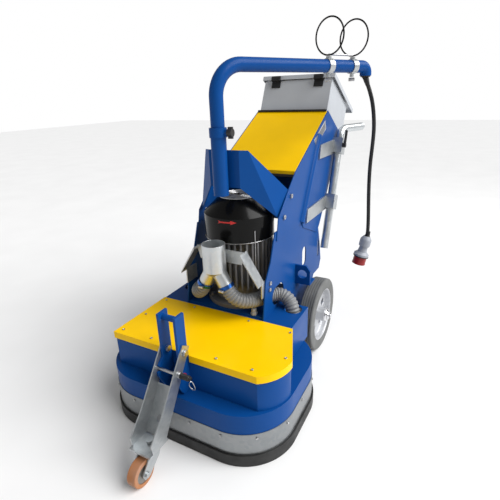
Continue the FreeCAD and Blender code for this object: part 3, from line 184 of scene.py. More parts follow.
# %% Painted finishes
def powder_coat(name, color, roughness=0.36, peel=0.00012, coat=0.03, specular=0.10):
    material, tree, shader = begin(name, color, 0.0, roughness)
    slow = noise(tree, 9, 4)
    tree.links.new(shades(tree, slow, tint(color, 0.96), tint(color, 1.03)), shader.inputs["Base Color"])
    tree.links.new(between(tree, noise(tree, 5, 3), roughness - 0.03, roughness + 0.05),
                   shader.inputs["Roughness"])
    relief(tree, shader, noise(tree, 420, 2), peel, 0.5)
    shader.inputs["Specular IOR Level"].default_value = specular
    shader.inputs["Coat Weight"].default_value = coat
    shader.inputs["Coat Roughness"].default_value = 0.12
    return material


BLUE = (0.003, 0.060, 0.25)
YELLOW = (0.95, 0.57, 0.0005)
LIGHT_GREY = (0.46, 0.48, 0.51)
COWL_BLACK = (0.003, 0.003, 0.003)
MOTOR_GREY = (0.17, 0.172, 0.18)
RIM_SILVER = (0.60, 0.61, 0.63)
blue_coat = powder_coat("blue_coat", BLUE)
yellow_coat = powder_coat("yellow_coat", YELLOW, roughness=0.3)
cabinet_coat = powder_coat("cabinet_coat", LIGHT_GREY, roughness=0.42, peel=0.0002, coat=0.1)
black_coat = powder_coat("black_coat", COWL_BLACK, roughness=0.24, peel=0.00005, coat=0.15)
motor_coat = powder_coat("motor_coat", MOTOR_GREY, roughness=0.4, peel=0.0003, coat=0.0)
rim_lacquer = powder_coat("rim_lacquer", RIM_SILVER, roughness=0.36, peel=0.0001, coat=0.2)
rim_lacquer.node_tree.nodes["Principled BSDF"].inputs["Metallic"].default_value = 0.6
print("paints", [m.name for m in bpy.data.materials])

# %% [markdown]
# ## Bare metals
# Hot-dip zinc shows crystals of slightly different greys, about a centimetre across, and dull
# patches. A picture of zinc would need unwrapping. A Voronoi pattern grows the crystals instead, one
# grey for each cell, and a cloudy noise dulls them here and there. Steel parts take a fine grain.


# %% Metal finishes
def galvanised(name, grey=0.62, crystal=95, roughness=0.36, contrast=0.10):
    material, tree, shader = begin(name, (grey, grey, grey), 0.88, roughness)
    low, high = grey * (1 - contrast), grey * (1 + contrast)
    cells = spangle(tree, crystal)
    cloud = noise(tree, 14, 4)
    dark = (low * 0.90, low, low * 1.05)
    bright = (high * 0.96, high * 1.01, high * 1.04)
    crystals = shades(tree, cells, dark, bright, 0.1, 0.9)
    haze = shades(tree, cloud, (grey * 0.9,) * 3, (grey * 1.1,) * 3)
    mix = tree.nodes.new("ShaderNodeMix")
    mix.data_type = "RGBA"
    mix.inputs["Factor"].default_value = 0.4
    tree.links.new(crystals, mix.inputs["A"])
    tree.links.new(haze, mix.inputs["B"])
    tree.links.new(mix.outputs["Result"], shader.inputs["Base Color"])
    tree.links.new(between(tree, cells, roughness - 0.04, roughness + 0.05, 0.1, 0.9),
                   shader.inputs["Roughness"])
    relief(tree, shader, cloud, 0.0001, 0.25)
    return material


def plain_metal(name, color, roughness, grain=(1, 1, 1), depth=0.00005):
    material, tree, shader = begin(name, color, 1.0, roughness)
    lines = noise(tree, 220, 3, grain)
    tree.links.new(shades(tree, lines, tint(color, 0.85), tint(color, 1.12)),
                   shader.inputs["Base Color"])
    tree.links.new(between(tree, noise(tree, 40, 3), roughness - 0.05, roughness + 0.1),
                   shader.inputs["Roughness"])
    relief(tree, shader, lines, depth, 0.5)
    return material


zinc = galvanised("zinc", grey=0.50, crystal=95, roughness=0.38)
zinc_band = galvanised("zinc_band", grey=0.30, crystal=80, roughness=0.32)
zinc_bright = galvanised("zinc_bright", grey=0.62, crystal=110, roughness=0.34, contrast=0.05)
screw_steel = plain_metal("screw_steel", (0.50, 0.50, 0.51), 0.3)
turned_steel = plain_metal("turned_steel", (0.45, 0.45, 0.46), 0.28, (1, 1, 8))
cast_metal = plain_metal("cast_metal", (0.30, 0.29, 0.27), 0.5, (1, 1, 1), 0.0002)
chrome = plain_metal("chrome", (0.72, 0.72, 0.74), 0.12)
print("metals ready")

# %% [markdown]
# ## Rubber and plastic
# Rubber is dull and takes a bloom of dust. Moulded plastic has a fine grain. One recipe makes both:
# a patchy noise lays the dust over the colour, and a fine one gives the grain. The castor's tread is
# orange polyurethane, marked by grit, so it gets the most dust.


# %% Rubber and plastic finishes
def soft_polymer(name, color, roughness, dust=0.15, grain=300, depth=0.00015, specular=0.4):
    material, tree, shader = begin(name, color, 0.0, roughness)
    dusty = tuple(c + (0.35 - c) * dust for c in color)
    tree.links.new(shades(tree, noise(tree, 16, 5), color, dusty, 0.4, 0.8), shader.inputs["Base Color"])
    tree.links.new(between(tree, noise(tree, 30, 3), roughness - 0.06, roughness + 0.1),
                   shader.inputs["Roughness"])
    relief(tree, shader, noise(tree, grain, 2), depth, 0.5)
    shader.inputs["Specular IOR Level"].default_value = specular
    return material


skirt_rubber = soft_polymer("skirt_rubber", (0.006, 0.006, 0.006), 0.5, 0.06)
belt_rubber = soft_polymer("belt_rubber", (0.015, 0.015, 0.015), 0.6, 0.05)
tyre_rubber = soft_polymer("tyre_rubber", (0.13, 0.133, 0.13), 0.62, 0.25, specular=0.2)
cord_rubber = soft_polymer("cord_rubber", (0.008, 0.008, 0.009), 0.42, 0.04)
tread_plastic = soft_polymer("tread_plastic", (0.40, 0.15, 0.045), 0.4, 0.35)
black_plastic = soft_polymer("black_plastic", (0.012, 0.012, 0.013), 0.4, 0.05)
hose_plastic = soft_polymer("hose_plastic", (0.20, 0.205, 0.21), 0.32, 0.12)
plug_grey = soft_polymer("plug_grey", (0.34, 0.36, 0.40), 0.35, 0.1)
plug_red = soft_polymer("plug_red", (0.28, 0.008, 0.008), 0.28, 0.02)
knob_red = soft_polymer("knob_red", (0.55, 0.012, 0.008), 0.28, 0.02)
knob_green = soft_polymer("knob_green", (0.015, 0.28, 0.06), 0.28, 0.02)
clamp_blue = plain_metal("clamp_blue", (0.03, 0.12, 0.42), 0.3)
print("materials", len(bpy.data.materials))

# %% [markdown]
# ## Softened edges
# Folded and welded sheet never has a knife edge: the bend or the ground edge is a small radius that
# catches the light. Rounded edges could be faked in the shader, but real ones also show in outline.
# So a CAD shape is copied, its triangles are merged back into flat faces, and a bevel of about a
# millimetre goes along its sharp edges. Weighted normals keep the big faces flat. The copy stands for
# the CAD node.


# %% Softened copies of CAD shapes
def select_only(piece):
    for other in bpy.context.view_layer.objects.selected[:]:
        other.select_set(False)
    bpy.context.view_layer.objects.active = piece
    piece.select_set(True)


def apply_all(piece):
    select_only(piece)
    for modifier in list(piece.modifiers):
        bpy.ops.object.modifier_apply(modifier=modifier.name)


def finish_piece(piece, material, body):
    """Gives a finished shape its material and the body that it rides on."""
    piece.data.materials.clear()
    piece.data.materials.append(material)
    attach(piece, body)
    return piece


BODY_OF = {}
for body_name, members in frame["record"]["behaviour"]["bodies"].items():
    for member in members:
        BODY_OF[member] = body_name


def softened(node, material, width=0.8 * MM, sharp=32):
    source = frame["nodes"][node]
    piece = bpy.data.objects.new(node + "_skin", source.data.copy())
    bpy.context.scene.collection.objects.link(piece)
    select_only(piece)
    bpy.ops.object.mode_set(mode="EDIT")
    bpy.ops.mesh.select_all(action="SELECT")
    bpy.ops.mesh.customdata_custom_splitnormals_clear()
    bpy.ops.mesh.remove_doubles(threshold=0.02 * MM)
    bpy.ops.mesh.dissolve_limited(angle_limit=math.radians(0.4))
    bpy.ops.object.mode_set(mode="OBJECT")
    if width:
        bevel = piece.modifiers.new("edges", "BEVEL")
        bevel.width = width
        bevel.segments = 2
        bevel.limit_method = "ANGLE"
        bevel.angle_limit = math.radians(sharp)
    bpy.ops.object.shade_smooth_by_angle(angle=math.radians(sharp))
    weights = piece.modifiers.new("flat faces", "WEIGHTED_NORMAL")
    weights.keep_sharp = True
    weights.weight = 80
    apply_all(piece)
    finish_piece(piece, material, BODY_OF[node])
    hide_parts(node)
    return piece


def dress(nodes, material, width=0.8 * MM):
    for node in nodes:
        piece = softened(node, material, width)
        print(node, len(piece.data.polygons), "faces")


BLUE_SHEET = ("lower_hood", "upper_housing", "front_bracket", "leg_plates", "column", "motor_shroud")
dress(BLUE_SHEET, blue_coat, 1.0 * MM)

# %% [markdown]
# ## Sheet metal in other finishes
# The lid and the upper cover are yellow, the cabinet and its door are light grey, and the castor arm,
# the clamps, the dust port and the band round the hood are galvanised. Thick plate gets the wider
# edge, and thin tube the narrower one.

# %% Yellow, grey and zinc sheet
dress(("lid", "upper_panel"), yellow_coat, 1.0 * MM)
dress(("cabinet", "cabinet_door"), cabinet_coat, 1.2 * MM)
dress(("skirt_band",), zinc_band, 0.6 * MM)
dress(("castor_arm", "castor_fork", "port_strap", "handle_clamps", "ring_clamps", "axle"), zinc,
      0.6 * MM)
dress(("dust_port", "right_handle", "left_handle"), zinc_bright, 0.4 * MM)
dress(("boom_tube", "boom_sleeve"), blue_coat, 0.4 * MM)

# %% [markdown]
# ## Motor, wheels and small parts
# Castings have wider radii than thin sheet, and turned parts have almost none. The castor's tread is
# round already, so it keeps its shape and only gets its finish. The sprung buttons pass through holes
# in the door, so their edges stay narrow.

# %% Motor, wheels and small parts
dress(("motor_body",), motor_coat, 0.7 * MM)
dress(("fan_cowl", "guide_rings"), black_coat, 0.6 * MM)
dress(("motor_shaft", "right_spindle", "left_spindle", "bearings"), turned_steel, 0.5 * MM)
dress(("right_disc", "left_disc"), cast_metal, 0.8 * MM)
BLACK_PARTS = ("cooling_fan", "door_hinges", "boom_knob", "pin_grip", "right_clamp_lever",
               "left_clamp_lever", "cord_gland")
dress(BLACK_PARTS, black_plastic, 0.8 * MM)
dress(("right_tyre", "left_tyre"), tyre_rubber, 0.6 * MM)
dress(("right_rim", "left_rim"), rim_lacquer, 1.0 * MM)
dress(("castor_tyre",), tread_plastic, 0)
dress(("castor_hub",), cast_metal, 0.5 * MM)
dress(("rubber_skirt", "drive_belt"), skirt_rubber, 1.0 * MM)
dress(("housing_screws", "frame_bolts", "lock_pin"), screw_steel, 0.4 * MM)
dress(("hose_clamps",), clamp_blue, 0.4 * MM)
dress(("plug_body",), plug_grey, 0.8 * MM)
dress(("plug_collar",), plug_red, 0.8 * MM)
dress(("emergency_stop", "stop_button"), knob_red, 0.5 * MM)
dress(("start_button",), knob_green, 0.5 * MM)
dress(("door_latch",), chrome, 0.8 * MM)

# %% [markdown]
# ## Shapes for small fittings
# Most small fittings are turned on a lathe. Each could be spun from a drawn section, but a profile of
# (height, radius) pairs is easier to read: a circle is drawn up by extruding it and scaling each new
# ring, then the piece is stood along its axis. Rings, bars and slabs start from a torus, a cylinder
# and a cube. Printed plates and arrows are thin sheets cut to an outline.


# %% Fitting helpers
def stand_along(piece, place, aim):
    """Turns a piece from +Z to a direction, moves it to a place in millimetres and applies both."""
    piece.rotation_euler = Vector(aim).to_track_quat("Z", "Y").to_euler()
    piece.location = Vector(place) * MM
    select_only(piece)
    bpy.ops.object.transform_apply(location=True, rotation=True, scale=True)
    return piece


def soften_edges(piece, width):
    bevel = piece.modifiers.new("edges", "BEVEL")
    bevel.width = width
    bevel.segments = 2
    bevel.limit_method = "ANGLE"
    apply_all(piece)
    bpy.ops.object.shade_smooth_by_angle(angle=math.radians(35))


def turned(name, profile, place, aim, sides=40):
    """Draws a circle up through a profile of (height, radius) pairs, in millimetres."""
    height, radius = profile[0]
    bpy.ops.mesh.primitive_circle_add(vertices=sides, radius=radius * MM, fill_type="NGON",
                                      location=(0, 0, height * MM))
    piece = bpy.context.object
    piece.name = name
    bpy.ops.object.transform_apply(location=True, rotation=True, scale=True)
    bpy.ops.object.mode_set(mode="EDIT")
    bpy.ops.mesh.select_all(action="SELECT")
    for next_height, next_radius in profile[1:]:
        rise = (0, 0, (next_height - height) * MM)
        bpy.ops.mesh.extrude_region_move(TRANSFORM_OT_translate={"value": rise})
        factor = next_radius / radius
        bpy.ops.transform.resize(value=(factor, factor, 1))
        height, radius = next_height, next_radius
    bpy.ops.mesh.select_all(action="SELECT")
    bpy.ops.mesh.normals_make_consistent(inside=False)
    bpy.ops.object.mode_set(mode="OBJECT")
    bpy.ops.object.shade_smooth_by_angle(angle=math.radians(35))
    return stand_along(piece, place, aim)


def ring(name, place, aim, radius, wire):
    bpy.ops.mesh.primitive_torus_add(major_segments=56, minor_segments=10, major_radius=radius * MM,
                                     minor_radius=wire * MM)
    piece = bpy.context.object
    piece.name = name
    bpy.ops.object.shade_smooth()
    return stand_along(piece, place, aim)


def bar(name, start, end, radius):
    start, end = Vector(start), Vector(end)
    bpy.ops.mesh.primitive_cylinder_add(vertices=16, radius=radius * MM, depth=(end - start).length * MM)
    piece = bpy.context.object
    piece.name = name
    bpy.ops.object.shade_smooth_by_angle(angle=math.radians(35))
    return stand_along(piece, (start + end) / 2, end - start)


def slab(name, low, high):
    low, high = Vector(low) * MM, Vector(high) * MM
    size = [abs(c) for c in high - low]
    bpy.ops.mesh.primitive_cube_add(size=1, location=(low + high) / 2, scale=size)
    piece = bpy.context.object
    piece.name = name
    bpy.ops.object.transform_apply(location=True, rotation=True, scale=True)
    return piece


def flat_outline(name, outline):
    """A thin sheet cut to an outline in the XY plane, in millimetres."""
    bpy.ops.mesh.primitive_circle_add(vertices=len(outline), radius=1, fill_type="NGON")
    piece = bpy.context.object
    piece.name = name
    for vertex, (x, y) in zip(piece.data.vertices, outline):
        vertex.co = (x * MM, y * MM, 0)
    return piece


def thicken(piece, thickness=0.6):
    wall = piece.modifiers.new("thickness", "SOLIDIFY")
    wall.thickness = thickness * MM
    wall.offset = 0
    apply_all(piece)


def stand_up(piece, out):
    """Puts a sheet on the right column: its X becomes Y, its Y becomes height."""
    for vertex in piece.data.vertices:
        y, z, _ = vertex.co
        vertex.co = (out * MM, y, z)
    thicken(piece)


def wrap_round(piece, place, radius, middle):
    """Bends a sheet round an upright cylinder, centred on an angle from -Y."""
    select_only(piece)
    bpy.ops.object.mode_set(mode="EDIT")
    bpy.ops.mesh.select_all(action="SELECT")
    bpy.ops.mesh.quads_convert_to_tris()
    bpy.ops.mesh.subdivide(number_cuts=5)
    bpy.ops.object.mode_set(mode="OBJECT")
    x0, y0, z0 = (c * MM for c in place)
    for vertex in piece.data.vertices:
        angle = middle + vertex.co.x / (radius * MM)
        out, forward = radius * MM * math.sin(angle), radius * MM * math.cos(angle)
        vertex.co = (x0 + out, y0 - forward, z0 + vertex.co.y)
    thicken(piece, 0.3)


def joined(name, pieces):
    select_only(pieces[0])
    for piece in pieces[1:]:
        piece.select_set(True)
    bpy.ops.object.join()
    pieces[0].name = name
    return pieces[0]


print("fitting helpers ready")

# %% [markdown]
# ## Supply cord
# The rubber cable leaves the boom's turned-down end, bends out a little where it is stiff, and hangs
# with its plug. A chain of cylinders would kink, so it is one smooth curve with a round section, drawn
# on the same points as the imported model's route. The lock pin's pull loop is made the same way.


# %% Supply cord and pull loop
def smooth_route(name, points, resolution):
    """A smooth curve that starts and ends at the first and last of its points."""
    curve = bpy.data.curves.new(name, "CURVE")
    curve.dimensions = "3D"
    spline = curve.splines.new("NURBS")
    spline.points.add(len(points) - 1)
    for point, (x, y, z) in zip(spline.points, points):
        point.co = (x, y, z, 1)
    spline.order_u = 3
    spline.use_endpoint_u = True
    curve.resolution_u = resolution
    route = bpy.data.objects.new(name, curve)
    bpy.context.scene.collection.objects.link(route)
    return route


def free_cord(name, points, radius, material, body, node):
    piece = smooth_route(name, points, 12)
    piece.data.bevel_depth = radius
    piece.data.bevel_resolution = 5
    piece.data.use_fill_caps = True
    finish_piece(piece, material, body)
    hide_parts(node)
    return piece


CORD_ROUTE = (
    (0.29705, 0.35985, 1.053), (0.303, 0.3635, 1.036), (0.314, 0.370, 1.008), (0.326, 0.376, 0.970),
    (0.335, 0.3805, 0.920), (0.340, 0.384, 0.863), (0.339, 0.383, 0.800), (0.336, 0.3815, 0.735),
    (0.337, 0.382, 0.655), (0.341, 0.3845, 0.575), (0.3455, 0.387, 0.500), (0.3475, 0.388, 0.450),
    (0.3465, 0.3875, 0.421),
)
CORD_RADIUS = 7.5 * MM
supply_cord = free_cord("supply_cord_curve", CORD_ROUTE, CORD_RADIUS, cord_rubber,
                        "boom", "supply_cord")

LOOP_ROUTE = (
    (0.081, -0.557, 0.258), (0.086, -0.556, 0.248), (0.087, -0.553, 0.234), (0.082, -0.548, 0.222),
    (0.074, -0.545, 0.216), (0.066, -0.546, 0.220), (0.063, -0.549, 0.232), (0.068, -0.553, 0.246),
    (0.076, -0.556, 0.255),
)
LOOP_RADIUS = 1.5 * MM
pull_loop = free_cord("pull_loop", LOOP_ROUTE, LOOP_RADIUS, screw_steel,
                      "lock_pin", "pin_lanyard")
print("cord points", len(CORD_ROUTE), "loop points", len(LOOP_ROUTE))

# %% [markdown]
# ## Ribbed dust hoses
# A vacuum hose is a thin wall folded into rings. The rings could be a bump on a plain tube, but they
# show in the hose's outline. So one ring is modelled, an Array repeats it to the hose's length, and a
# Curve modifier bends the row along the route from the dust port, past the motor and through the side
# plate, down into the deck. Its mate is the same shape mirrored.


# %% Ribbed hoses
def ribbed_tube(name, points, outer, depth, pitch, sides=28, thickness=1.2 * MM):
    route = smooth_route(name + "_route", points, 16)
    length = route.data.splines[0].calc_length()
    count = round(length / pitch)
    step = length / count
    select_only(route)
    bpy.ops.mesh.primitive_cylinder_add(
        vertices=sides, radius=outer, depth=step, end_fill_type="NOTHING",
        rotation=(0, math.pi / 2, 0), location=(step / 2, 0, 0),
    )
    piece = bpy.context.object
    piece.name = name
    bpy.ops.object.transform_apply(location=True, rotation=True, scale=True)
    bpy.ops.object.mode_set(mode="EDIT")
    bpy.ops.mesh.select_all(action="DESELECT")
    bpy.ops.object.mode_set(mode="OBJECT")
    for edge in piece.data.edges:
        a, b = (piece.data.vertices[i].co.x for i in edge.vertices)
        edge.select = abs(a - b) > step / 2
    bpy.ops.object.mode_set(mode="EDIT")
    bpy.ops.mesh.subdivide(number_cuts=7)
    bpy.ops.object.mode_set(mode="OBJECT")
    for vertex in piece.data.vertices:
        share = 0.5 + 0.5 * math.cos(2 * math.pi * vertex.co.x / step)
        dip = depth * share ** 2
        factor = (outer - dip) / outer
        vertex.co.y *= factor
        vertex.co.z *= factor
    row = piece.modifiers.new("rings", "ARRAY")
    row.count = count
    row.use_merge_vertices = True
    row.merge_threshold = 0.1 * MM
    bend = piece.modifiers.new("route", "CURVE")
    bend.object = route
    apply_all(piece)
    wall = piece.modifiers.new("wall", "SOLIDIFY")
    wall.thickness = thickness
    wall.offset = -1
    apply_all(piece)
    bpy.ops.object.shade_smooth()
    bpy.data.objects.remove(route)
    print(name, "rings", count, "length", round(length, 3))
    return piece


HOSE_ROUTE = (
    (0.037, -0.285, 0.428), (0.054, -0.285, 0.395), (0.084, -0.270, 0.370), (0.111, -0.232, 0.360),
    (0.122, -0.190, 0.353), (0.131, -0.152, 0.347), (0.158, -0.122, 0.344), (0.190, -0.120, 0.333),
    (0.211, -0.130, 0.308), (0.214, -0.132, 0.280),
)
right_hose = ribbed_tube("right_hose", HOSE_ROUTE, outer=24.8 * MM, depth=3.2 * MM, pitch=10.5 * MM)
left_hose = right_hose.copy()
left_hose.data = right_hose.data.copy()
left_hose.name = "left_hose"
bpy.context.scene.collection.objects.link(left_hose)
left_hose.data.transform(Matrix.Scale(-1, 4, (1, 0, 0)))
left_hose.data.flip_normals()
for hose in (right_hose, left_hose):
    finish_piece(hose, hose_plastic, "chassis")
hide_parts("dust_hoses")
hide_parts("dust_hoses")

# %% [markdown]
# ## Motor conduit
# The motor's leads leave the deck through a gland and run to the terminal box in a thin ribbed
# conduit, made the same way as the hoses with finer rings. The gland is turned with six sides, as a
# nut is.

# %% Conduit
LEAD_ROUTE = (
    (0.112, -0.229, 0.332), (0.107, -0.213, 0.329), (0.098, -0.194, 0.328), (0.097, -0.165, 0.332),
    (0.106, -0.130, 0.335), (0.108, -0.095, 0.337), (0.102, -0.058, 0.342), (0.092, -0.024, 0.358),
    (0.080, -0.002, 0.388), (0.076, 0.008, 0.420), (0.073, 0.010, 0.446), (0.065, 0.010, 0.460),
    (0.0525, 0.010, 0.460),
)
conduit = ribbed_tube("conduit", LEAD_ROUTE, outer=6.2 * MM, depth=0.9 * MM, pitch=4.0 * MM,
                      sides=16, thickness=0.5 * MM)
finish_piece(conduit, hose_plastic, "chassis")
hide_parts("motor_lead")
GLAND_PROFILE = ((0, 12), (9, 12), (10, 9), (21, 9), (24, 6.2))
UP = (0, 0, 1)
gland = turned("conduit_gland", GLAND_PROFILE, (112, -232, 308), UP, 6)
soften_edges(gland, 0.8 * MM)
finish_piece(gland, plug_grey, "chassis")
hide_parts("motor_lead")

# %% [markdown]
# ## Cord and plug fittings
# Where the cable leaves the boom, a stepped rubber boot keeps it from kinking, and a smooth one does
# the same behind the plug. The plug has a twelve-sided nut, a gasket under its flange and a bead round
# its collar. All are turned along the cable or the plug. The lock pin's grip has two red bands.

# %% Cord boot, plug and pin fittings
BOOT_PROFILE = (
    (0, 13), (4, 13), (5, 11), (8, 11.6), (9, 10.4), (13, 11), (14, 9.9), (18, 10.4), (19, 9.4),
    (23, 9.8), (24, 8.8), (34, 7.9),
)
BOOT_PLACE = (296.8, 359.7, 1057)
BOOT_AIM = (0.30, 0.18, -0.95)
boot = turned("cord_boot", BOOT_PROFILE, BOOT_PLACE, BOOT_AIM)
finish_piece(boot, cord_rubber, "boom")

PLUG_PLACE = (346.5, 387.5, 421)
PLUG_AIM = Vector((-0.201, -0.104, -0.974)).normalized()
NECK_PROFILE = ((-22, 8.0), (-12, 9.4), (-2, 10.5), (0, 12.5), (1, 12.5))
GASKET_PROFILE = ((90.5, 32.8), (91, 33.2), (94.4, 33.2), (95, 32.4))
NUT_PROFILE = ((15, 23.2), (16, 24.6), (42, 24.6), (44, 23.2))
BEAD_PROFILE = ((124.5, 28.1), (125, 28.9), (129.2, 28.9), (129.6, 28.1))
neck = turned("plug_neck_boot", NECK_PROFILE, PLUG_PLACE, PLUG_AIM)
finish_piece(neck, cord_rubber, "boom")
gasket = turned("plug_gasket", GASKET_PROFILE, PLUG_PLACE, PLUG_AIM)
finish_piece(gasket, black_plastic, "boom")
nut = turned("plug_nut", NUT_PROFILE, PLUG_PLACE, PLUG_AIM, 12)
soften_edges(nut, 1.2 * MM)
finish_piece(nut, plug_grey, "boom")
rim_line = turned("plug_rim_line", BEAD_PROFILE, PLUG_PLACE, PLUG_AIM)
finish_piece(rim_line, plug_red, "boom")

TO_THE_RIGHT = (1, 0, 0)
GRIP_LINE = (-550.3, 259.8)
GRIP_BAND_PROFILE = ((0, 8.6), (0.5, 9.1), (2, 9.1), (2.5, 8.6))
for number, along in enumerate((45.5, 50)):
    band = turned(f"grip_band_{number}", GRIP_BAND_PROFILE, (along, *GRIP_LINE), TO_THE_RIGHT)
    finish_piece(band, plug_red, "lock_pin")
print("plug length", round((PLUG_AIM * BEAD_PROFILE[-1][0]).length, 1), "mm")

# %% [markdown]
# ## Motor guard and turning arrow
# A wire guard keeps fingers out of the cooling fan. It is bent and welded from thin rod, so it is made
# from rings and bars joined into one piece. The red arrow that shows which way the motor turns is a
# printed label: a flat outline, bent round the cowl. A long screw holds the cowl, and a thin silver
# ring round the cowl's lower edge is a painted highlight, standing in for the light caught on its rim.

# %% Motor guard and arrow
COWL = (0, -110)
COWL_LABEL_RADIUS = 122.1
GUARD_TOP = 687
GUARD_RIM = 67
GUARD_HUB = 10
GUARD_RINGS = (20, 28, 36, 44, 52, 60)
GUARD_WIRE = 1.3
guard_parts = [ring(f"guard_ring_{r}", (*COWL, GUARD_TOP + 1), UP, r, GUARD_WIRE) for r in GUARD_RINGS]
guard_parts.append(ring("guard_rim", (*COWL, GUARD_TOP), UP, GUARD_RIM, 2.0))
for number in range(6):
    angle = math.radians(60 * number + 30)
    outward = Vector((math.cos(angle), math.sin(angle), 0))
    hub = Vector((*COWL, GUARD_TOP))
    guard_parts.append(bar(f"guard_spoke_{number}", hub + outward * GUARD_HUB, hub + outward * GUARD_RIM,
                           GUARD_WIRE))
guard = joined("motor_guard", guard_parts)
finish_piece(guard, screw_steel, "chassis")

ARROW = ((-22, -2.4), (13, -2.4), (13, -7), (33, 0), (13, 7), (13, 2.4), (-22, 2.4), (-33, 6),
         (-27, 0), (-33, -6))
ARROW_HEIGHT = 622
ARROW_MIDDLE = math.radians(9.5)
arrow = flat_outline("turning_arrow", ARROW)
wrap_round(arrow, (*COWL, ARROW_HEIGHT), COWL_LABEL_RADIUS, ARROW_MIDDLE)
finish_piece(arrow, knob_red, "chassis")

rod = bar("motor_rod", (99, -185, 590), (99, -185, 452), 1.6)
finish_piece(rod, screw_steel, "chassis")
# A thin silver ring round the cowl's lower edge: a painted highlight, not a real part.
cowl_highlight = ring("cowl_painted_highlight", (*COWL, 549), UP, 121.3, 1.3)
finish_piece(cowl_highlight, screw_steel, "chassis")
print("guard faces", len(guard.data.polygons), "arrow faces", len(arrow.data.polygons))

# %% [markdown]
# ## Rating plate, seal and painted shade strip
# The rating plate is a bright metal sheet with a dull printed face, on the column's right side. It is
# left blank. Its corners are set on the column's sloping side, and each sheet then gets a thickness.
# A round seal closes the top of the yellow cover. A flat black strip along its lower edge is painted
# shade, standing in for the shadow under the cover's lip.

# %% Rating plate, seal and painted shade strip
PLATE_CORNERS = ((331, 902), (344, 868), (222, 806), (206, 839))
FACE_CORNERS = ((328, 893), (337, 869), (225, 813), (214, 838))
PLATE_OUT = 158.4
FACE_OUT = 158.8
plate = flat_outline("rating_plate", PLATE_CORNERS)
stand_up(plate, PLATE_OUT)
finish_piece(plate, chrome, "chassis")
plate_face = flat_outline("rating_plate_face", FACE_CORNERS)
stand_up(plate_face, FACE_OUT)
finish_piece(plate_face, motor_coat, "chassis")

seal = bar("cover_seal", (-152, 359, 937.5), (152, 359, 937.5), 4.2)
finish_piece(seal, black_plastic, "chassis")
# A flat black strip along the cover's lower edge: painted shade under the lip, not a seal.
cover_shade_strip = slab("cover_painted_shade_strip", (-151, 16.5, 731), (151, 19.5, 740))
finish_piece(cover_shade_strip, black_plastic, "chassis")
print("plate faces", len(plate.data.polygons), "seal faces", len(seal.data.polygons))

# %% [markdown]
# ## Clip screws and hub caps
# Each dust hose is held by a clip with a screw at the front, and each rear wheel has a turned hub cap
# and a rolled lip on its rim. The two sides mirror each other, so one loop makes both.

# %% Clip screws and hub caps
WHEEL_AXIS = (126, 149)
CAP_OUT = 256
LIP_OUT = 241
LIP_RADIUS = 106.5
CAP_PROFILE = ((0, 27), (4, 26), (10, 19), (14, 16), (15, 9), (21, 9), (22, 7))
for name, side in (("right", 1), ("left", -1)):
    clip = slab(f"{name}_clip_screw", (side * 30, -320, 414), (side * 48, -311.5, 422))
    soften_edges(clip, 1.5 * MM)
    finish_piece(clip, screw_steel, "chassis")
    cap = turned(f"{name}_hub_cap", CAP_PROFILE, (side * CAP_OUT, *WHEEL_AXIS), (side, 0, 0), 36)
    soften_edges(cap, 0.8 * MM)
    finish_piece(cap, chrome, f"{name}_wheel")
    lip = ring(f"{name}_rim_lip", (side * LIP_OUT, *WHEEL_AXIS), TO_THE_RIGHT, LIP_RADIUS, 2.6)
    finish_piece(lip, rim_lacquer, f"{name}_wheel")
    print(name, "cap faces", len(cap.data.polygons))

# %% [markdown]
# ## Clips of the guide rings
# Two clips stand on the boom and hold the guide rings. A thin bar ties their tops, and each has a wing
# screw in front. Their places are counted along the boom from its upright post.

# %% Guide ring clips
BOOM_POST = Vector((0, -218, 0))
BOOM_RUN = Vector((0.4572, 0.8894, 0))
CLIP_DISTANCES = (455, 575)
CLIP_TOP = Vector((0, 0, 1124))
WING_HEIGHT = Vector((0, 0, 1045))
WING_HALF = Vector((11, 2, 6))
clip_ends = [BOOM_POST + CLIP_TOP + BOOM_RUN * distance for distance in CLIP_DISTANCES]
clip_bar = bar("ring_clip_bar", *clip_ends, 3.2)
finish_piece(clip_bar, screw_steel, "boom")
for number, distance in enumerate(CLIP_DISTANCES):
    place = BOOM_POST + WING_HEIGHT + BOOM_RUN * distance
    wing = slab(f"clip_wing_{number}", place - WING_HALF, place + WING_HALF)
    soften_edges(wing, 1.5 * MM)
    finish_piece(wing, screw_steel, "boom")
print("clip bar", round((clip_ends[1] - clip_ends[0]).length, 1), "mm long")

# %% [markdown]
# ## Studio
# A pale floor reaches far beyond the machine. The world is white where the camera sees it but gives
# only a dim, even light, because a world bright enough to look white would wash out the shadows. A
# broad key light, a sun with a very wide angle, comes from high on the right. A soft box behind
# it picks out the edges, and a weak one fills in from the left front.

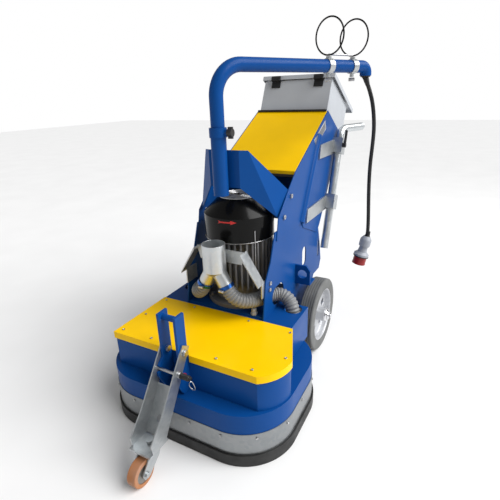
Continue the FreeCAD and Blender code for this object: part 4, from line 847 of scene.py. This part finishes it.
# %% Floor and surround
FLOOR_SIZE = 30
WORLD_LIGHT = 0.30
WHITE = (1, 1, 1, 1)
bpy.ops.mesh.primitive_plane_add(size=FLOOR_SIZE, location=(0, 0, -0.5 * MM))
floor = bpy.context.object
floor.name = "floor"
floor_paint, floor_tree, floor_shader = begin("floor_paint", (0.86, 0.86, 0.86), 0.0, 0.6)
floor_tree.links.new(shades(floor_tree, noise(floor_tree, 3, 2), (0.85, 0.85, 0.85), (0.88, 0.88, 0.88)),
                     floor_shader.inputs["Base Color"])
floor.data.materials.append(floor_paint)

world = bpy.data.worlds.new("studio")
bpy.context.scene.world = world
world.use_nodes = True
nodes, links = world.node_tree.nodes, world.node_tree.links
lighting = nodes["Background"]
lighting.inputs["Color"].default_value = WHITE
lighting.inputs["Strength"].default_value = WORLD_LIGHT
seen = nodes.new("ShaderNodeBackground")
seen.inputs["Color"].default_value = WHITE
either = nodes.new("ShaderNodeMixShader")
ray_kind = nodes.new("ShaderNodeLightPath")
links.new(ray_kind.outputs["Is Camera Ray"], either.inputs["Fac"])
links.new(lighting.outputs["Background"], either.inputs[1])
links.new(seen.outputs["Background"], either.inputs[2])
links.new(either.outputs["Shader"], nodes["World Output"].inputs["Surface"])
print("floor", FLOOR_SIZE, "m, world light", WORLD_LIGHT)


# %% Lights
def soft_box(name, place, target, size, power):
    light = bpy.data.lights.new(name, "AREA")
    light.shape = "RECTANGLE"
    light.size, light.size_y = size
    light.energy = power
    lamp = bpy.data.objects.new(name, light)
    bpy.context.scene.collection.objects.link(lamp)
    lamp.location = place
    lamp.rotation_euler = (Vector(target) - Vector(place)).to_track_quat("-Z", "Y").to_euler()


KEY_FROM = Vector((0.72, 0.12, 0.68))
sky_light = bpy.data.lights.new("key", "SUN")
sky_light.energy = 3.8
sky_light.angle = math.radians(50)
key = bpy.data.objects.new("key", sky_light)
bpy.context.scene.collection.objects.link(key)
key.rotation_euler = KEY_FROM.to_track_quat("Z", "Y").to_euler()
soft_box("rim", (1.8, 2.2, 2.4), (0, 0, 0.6), (1.2, 1.2), 18)
soft_box("fill", (-2.2, -2.6, 1.8), (0, 0, 0.5), (2, 2), 4)
bpy.context.scene.view_settings.view_transform = "Standard"
print("lights ready")
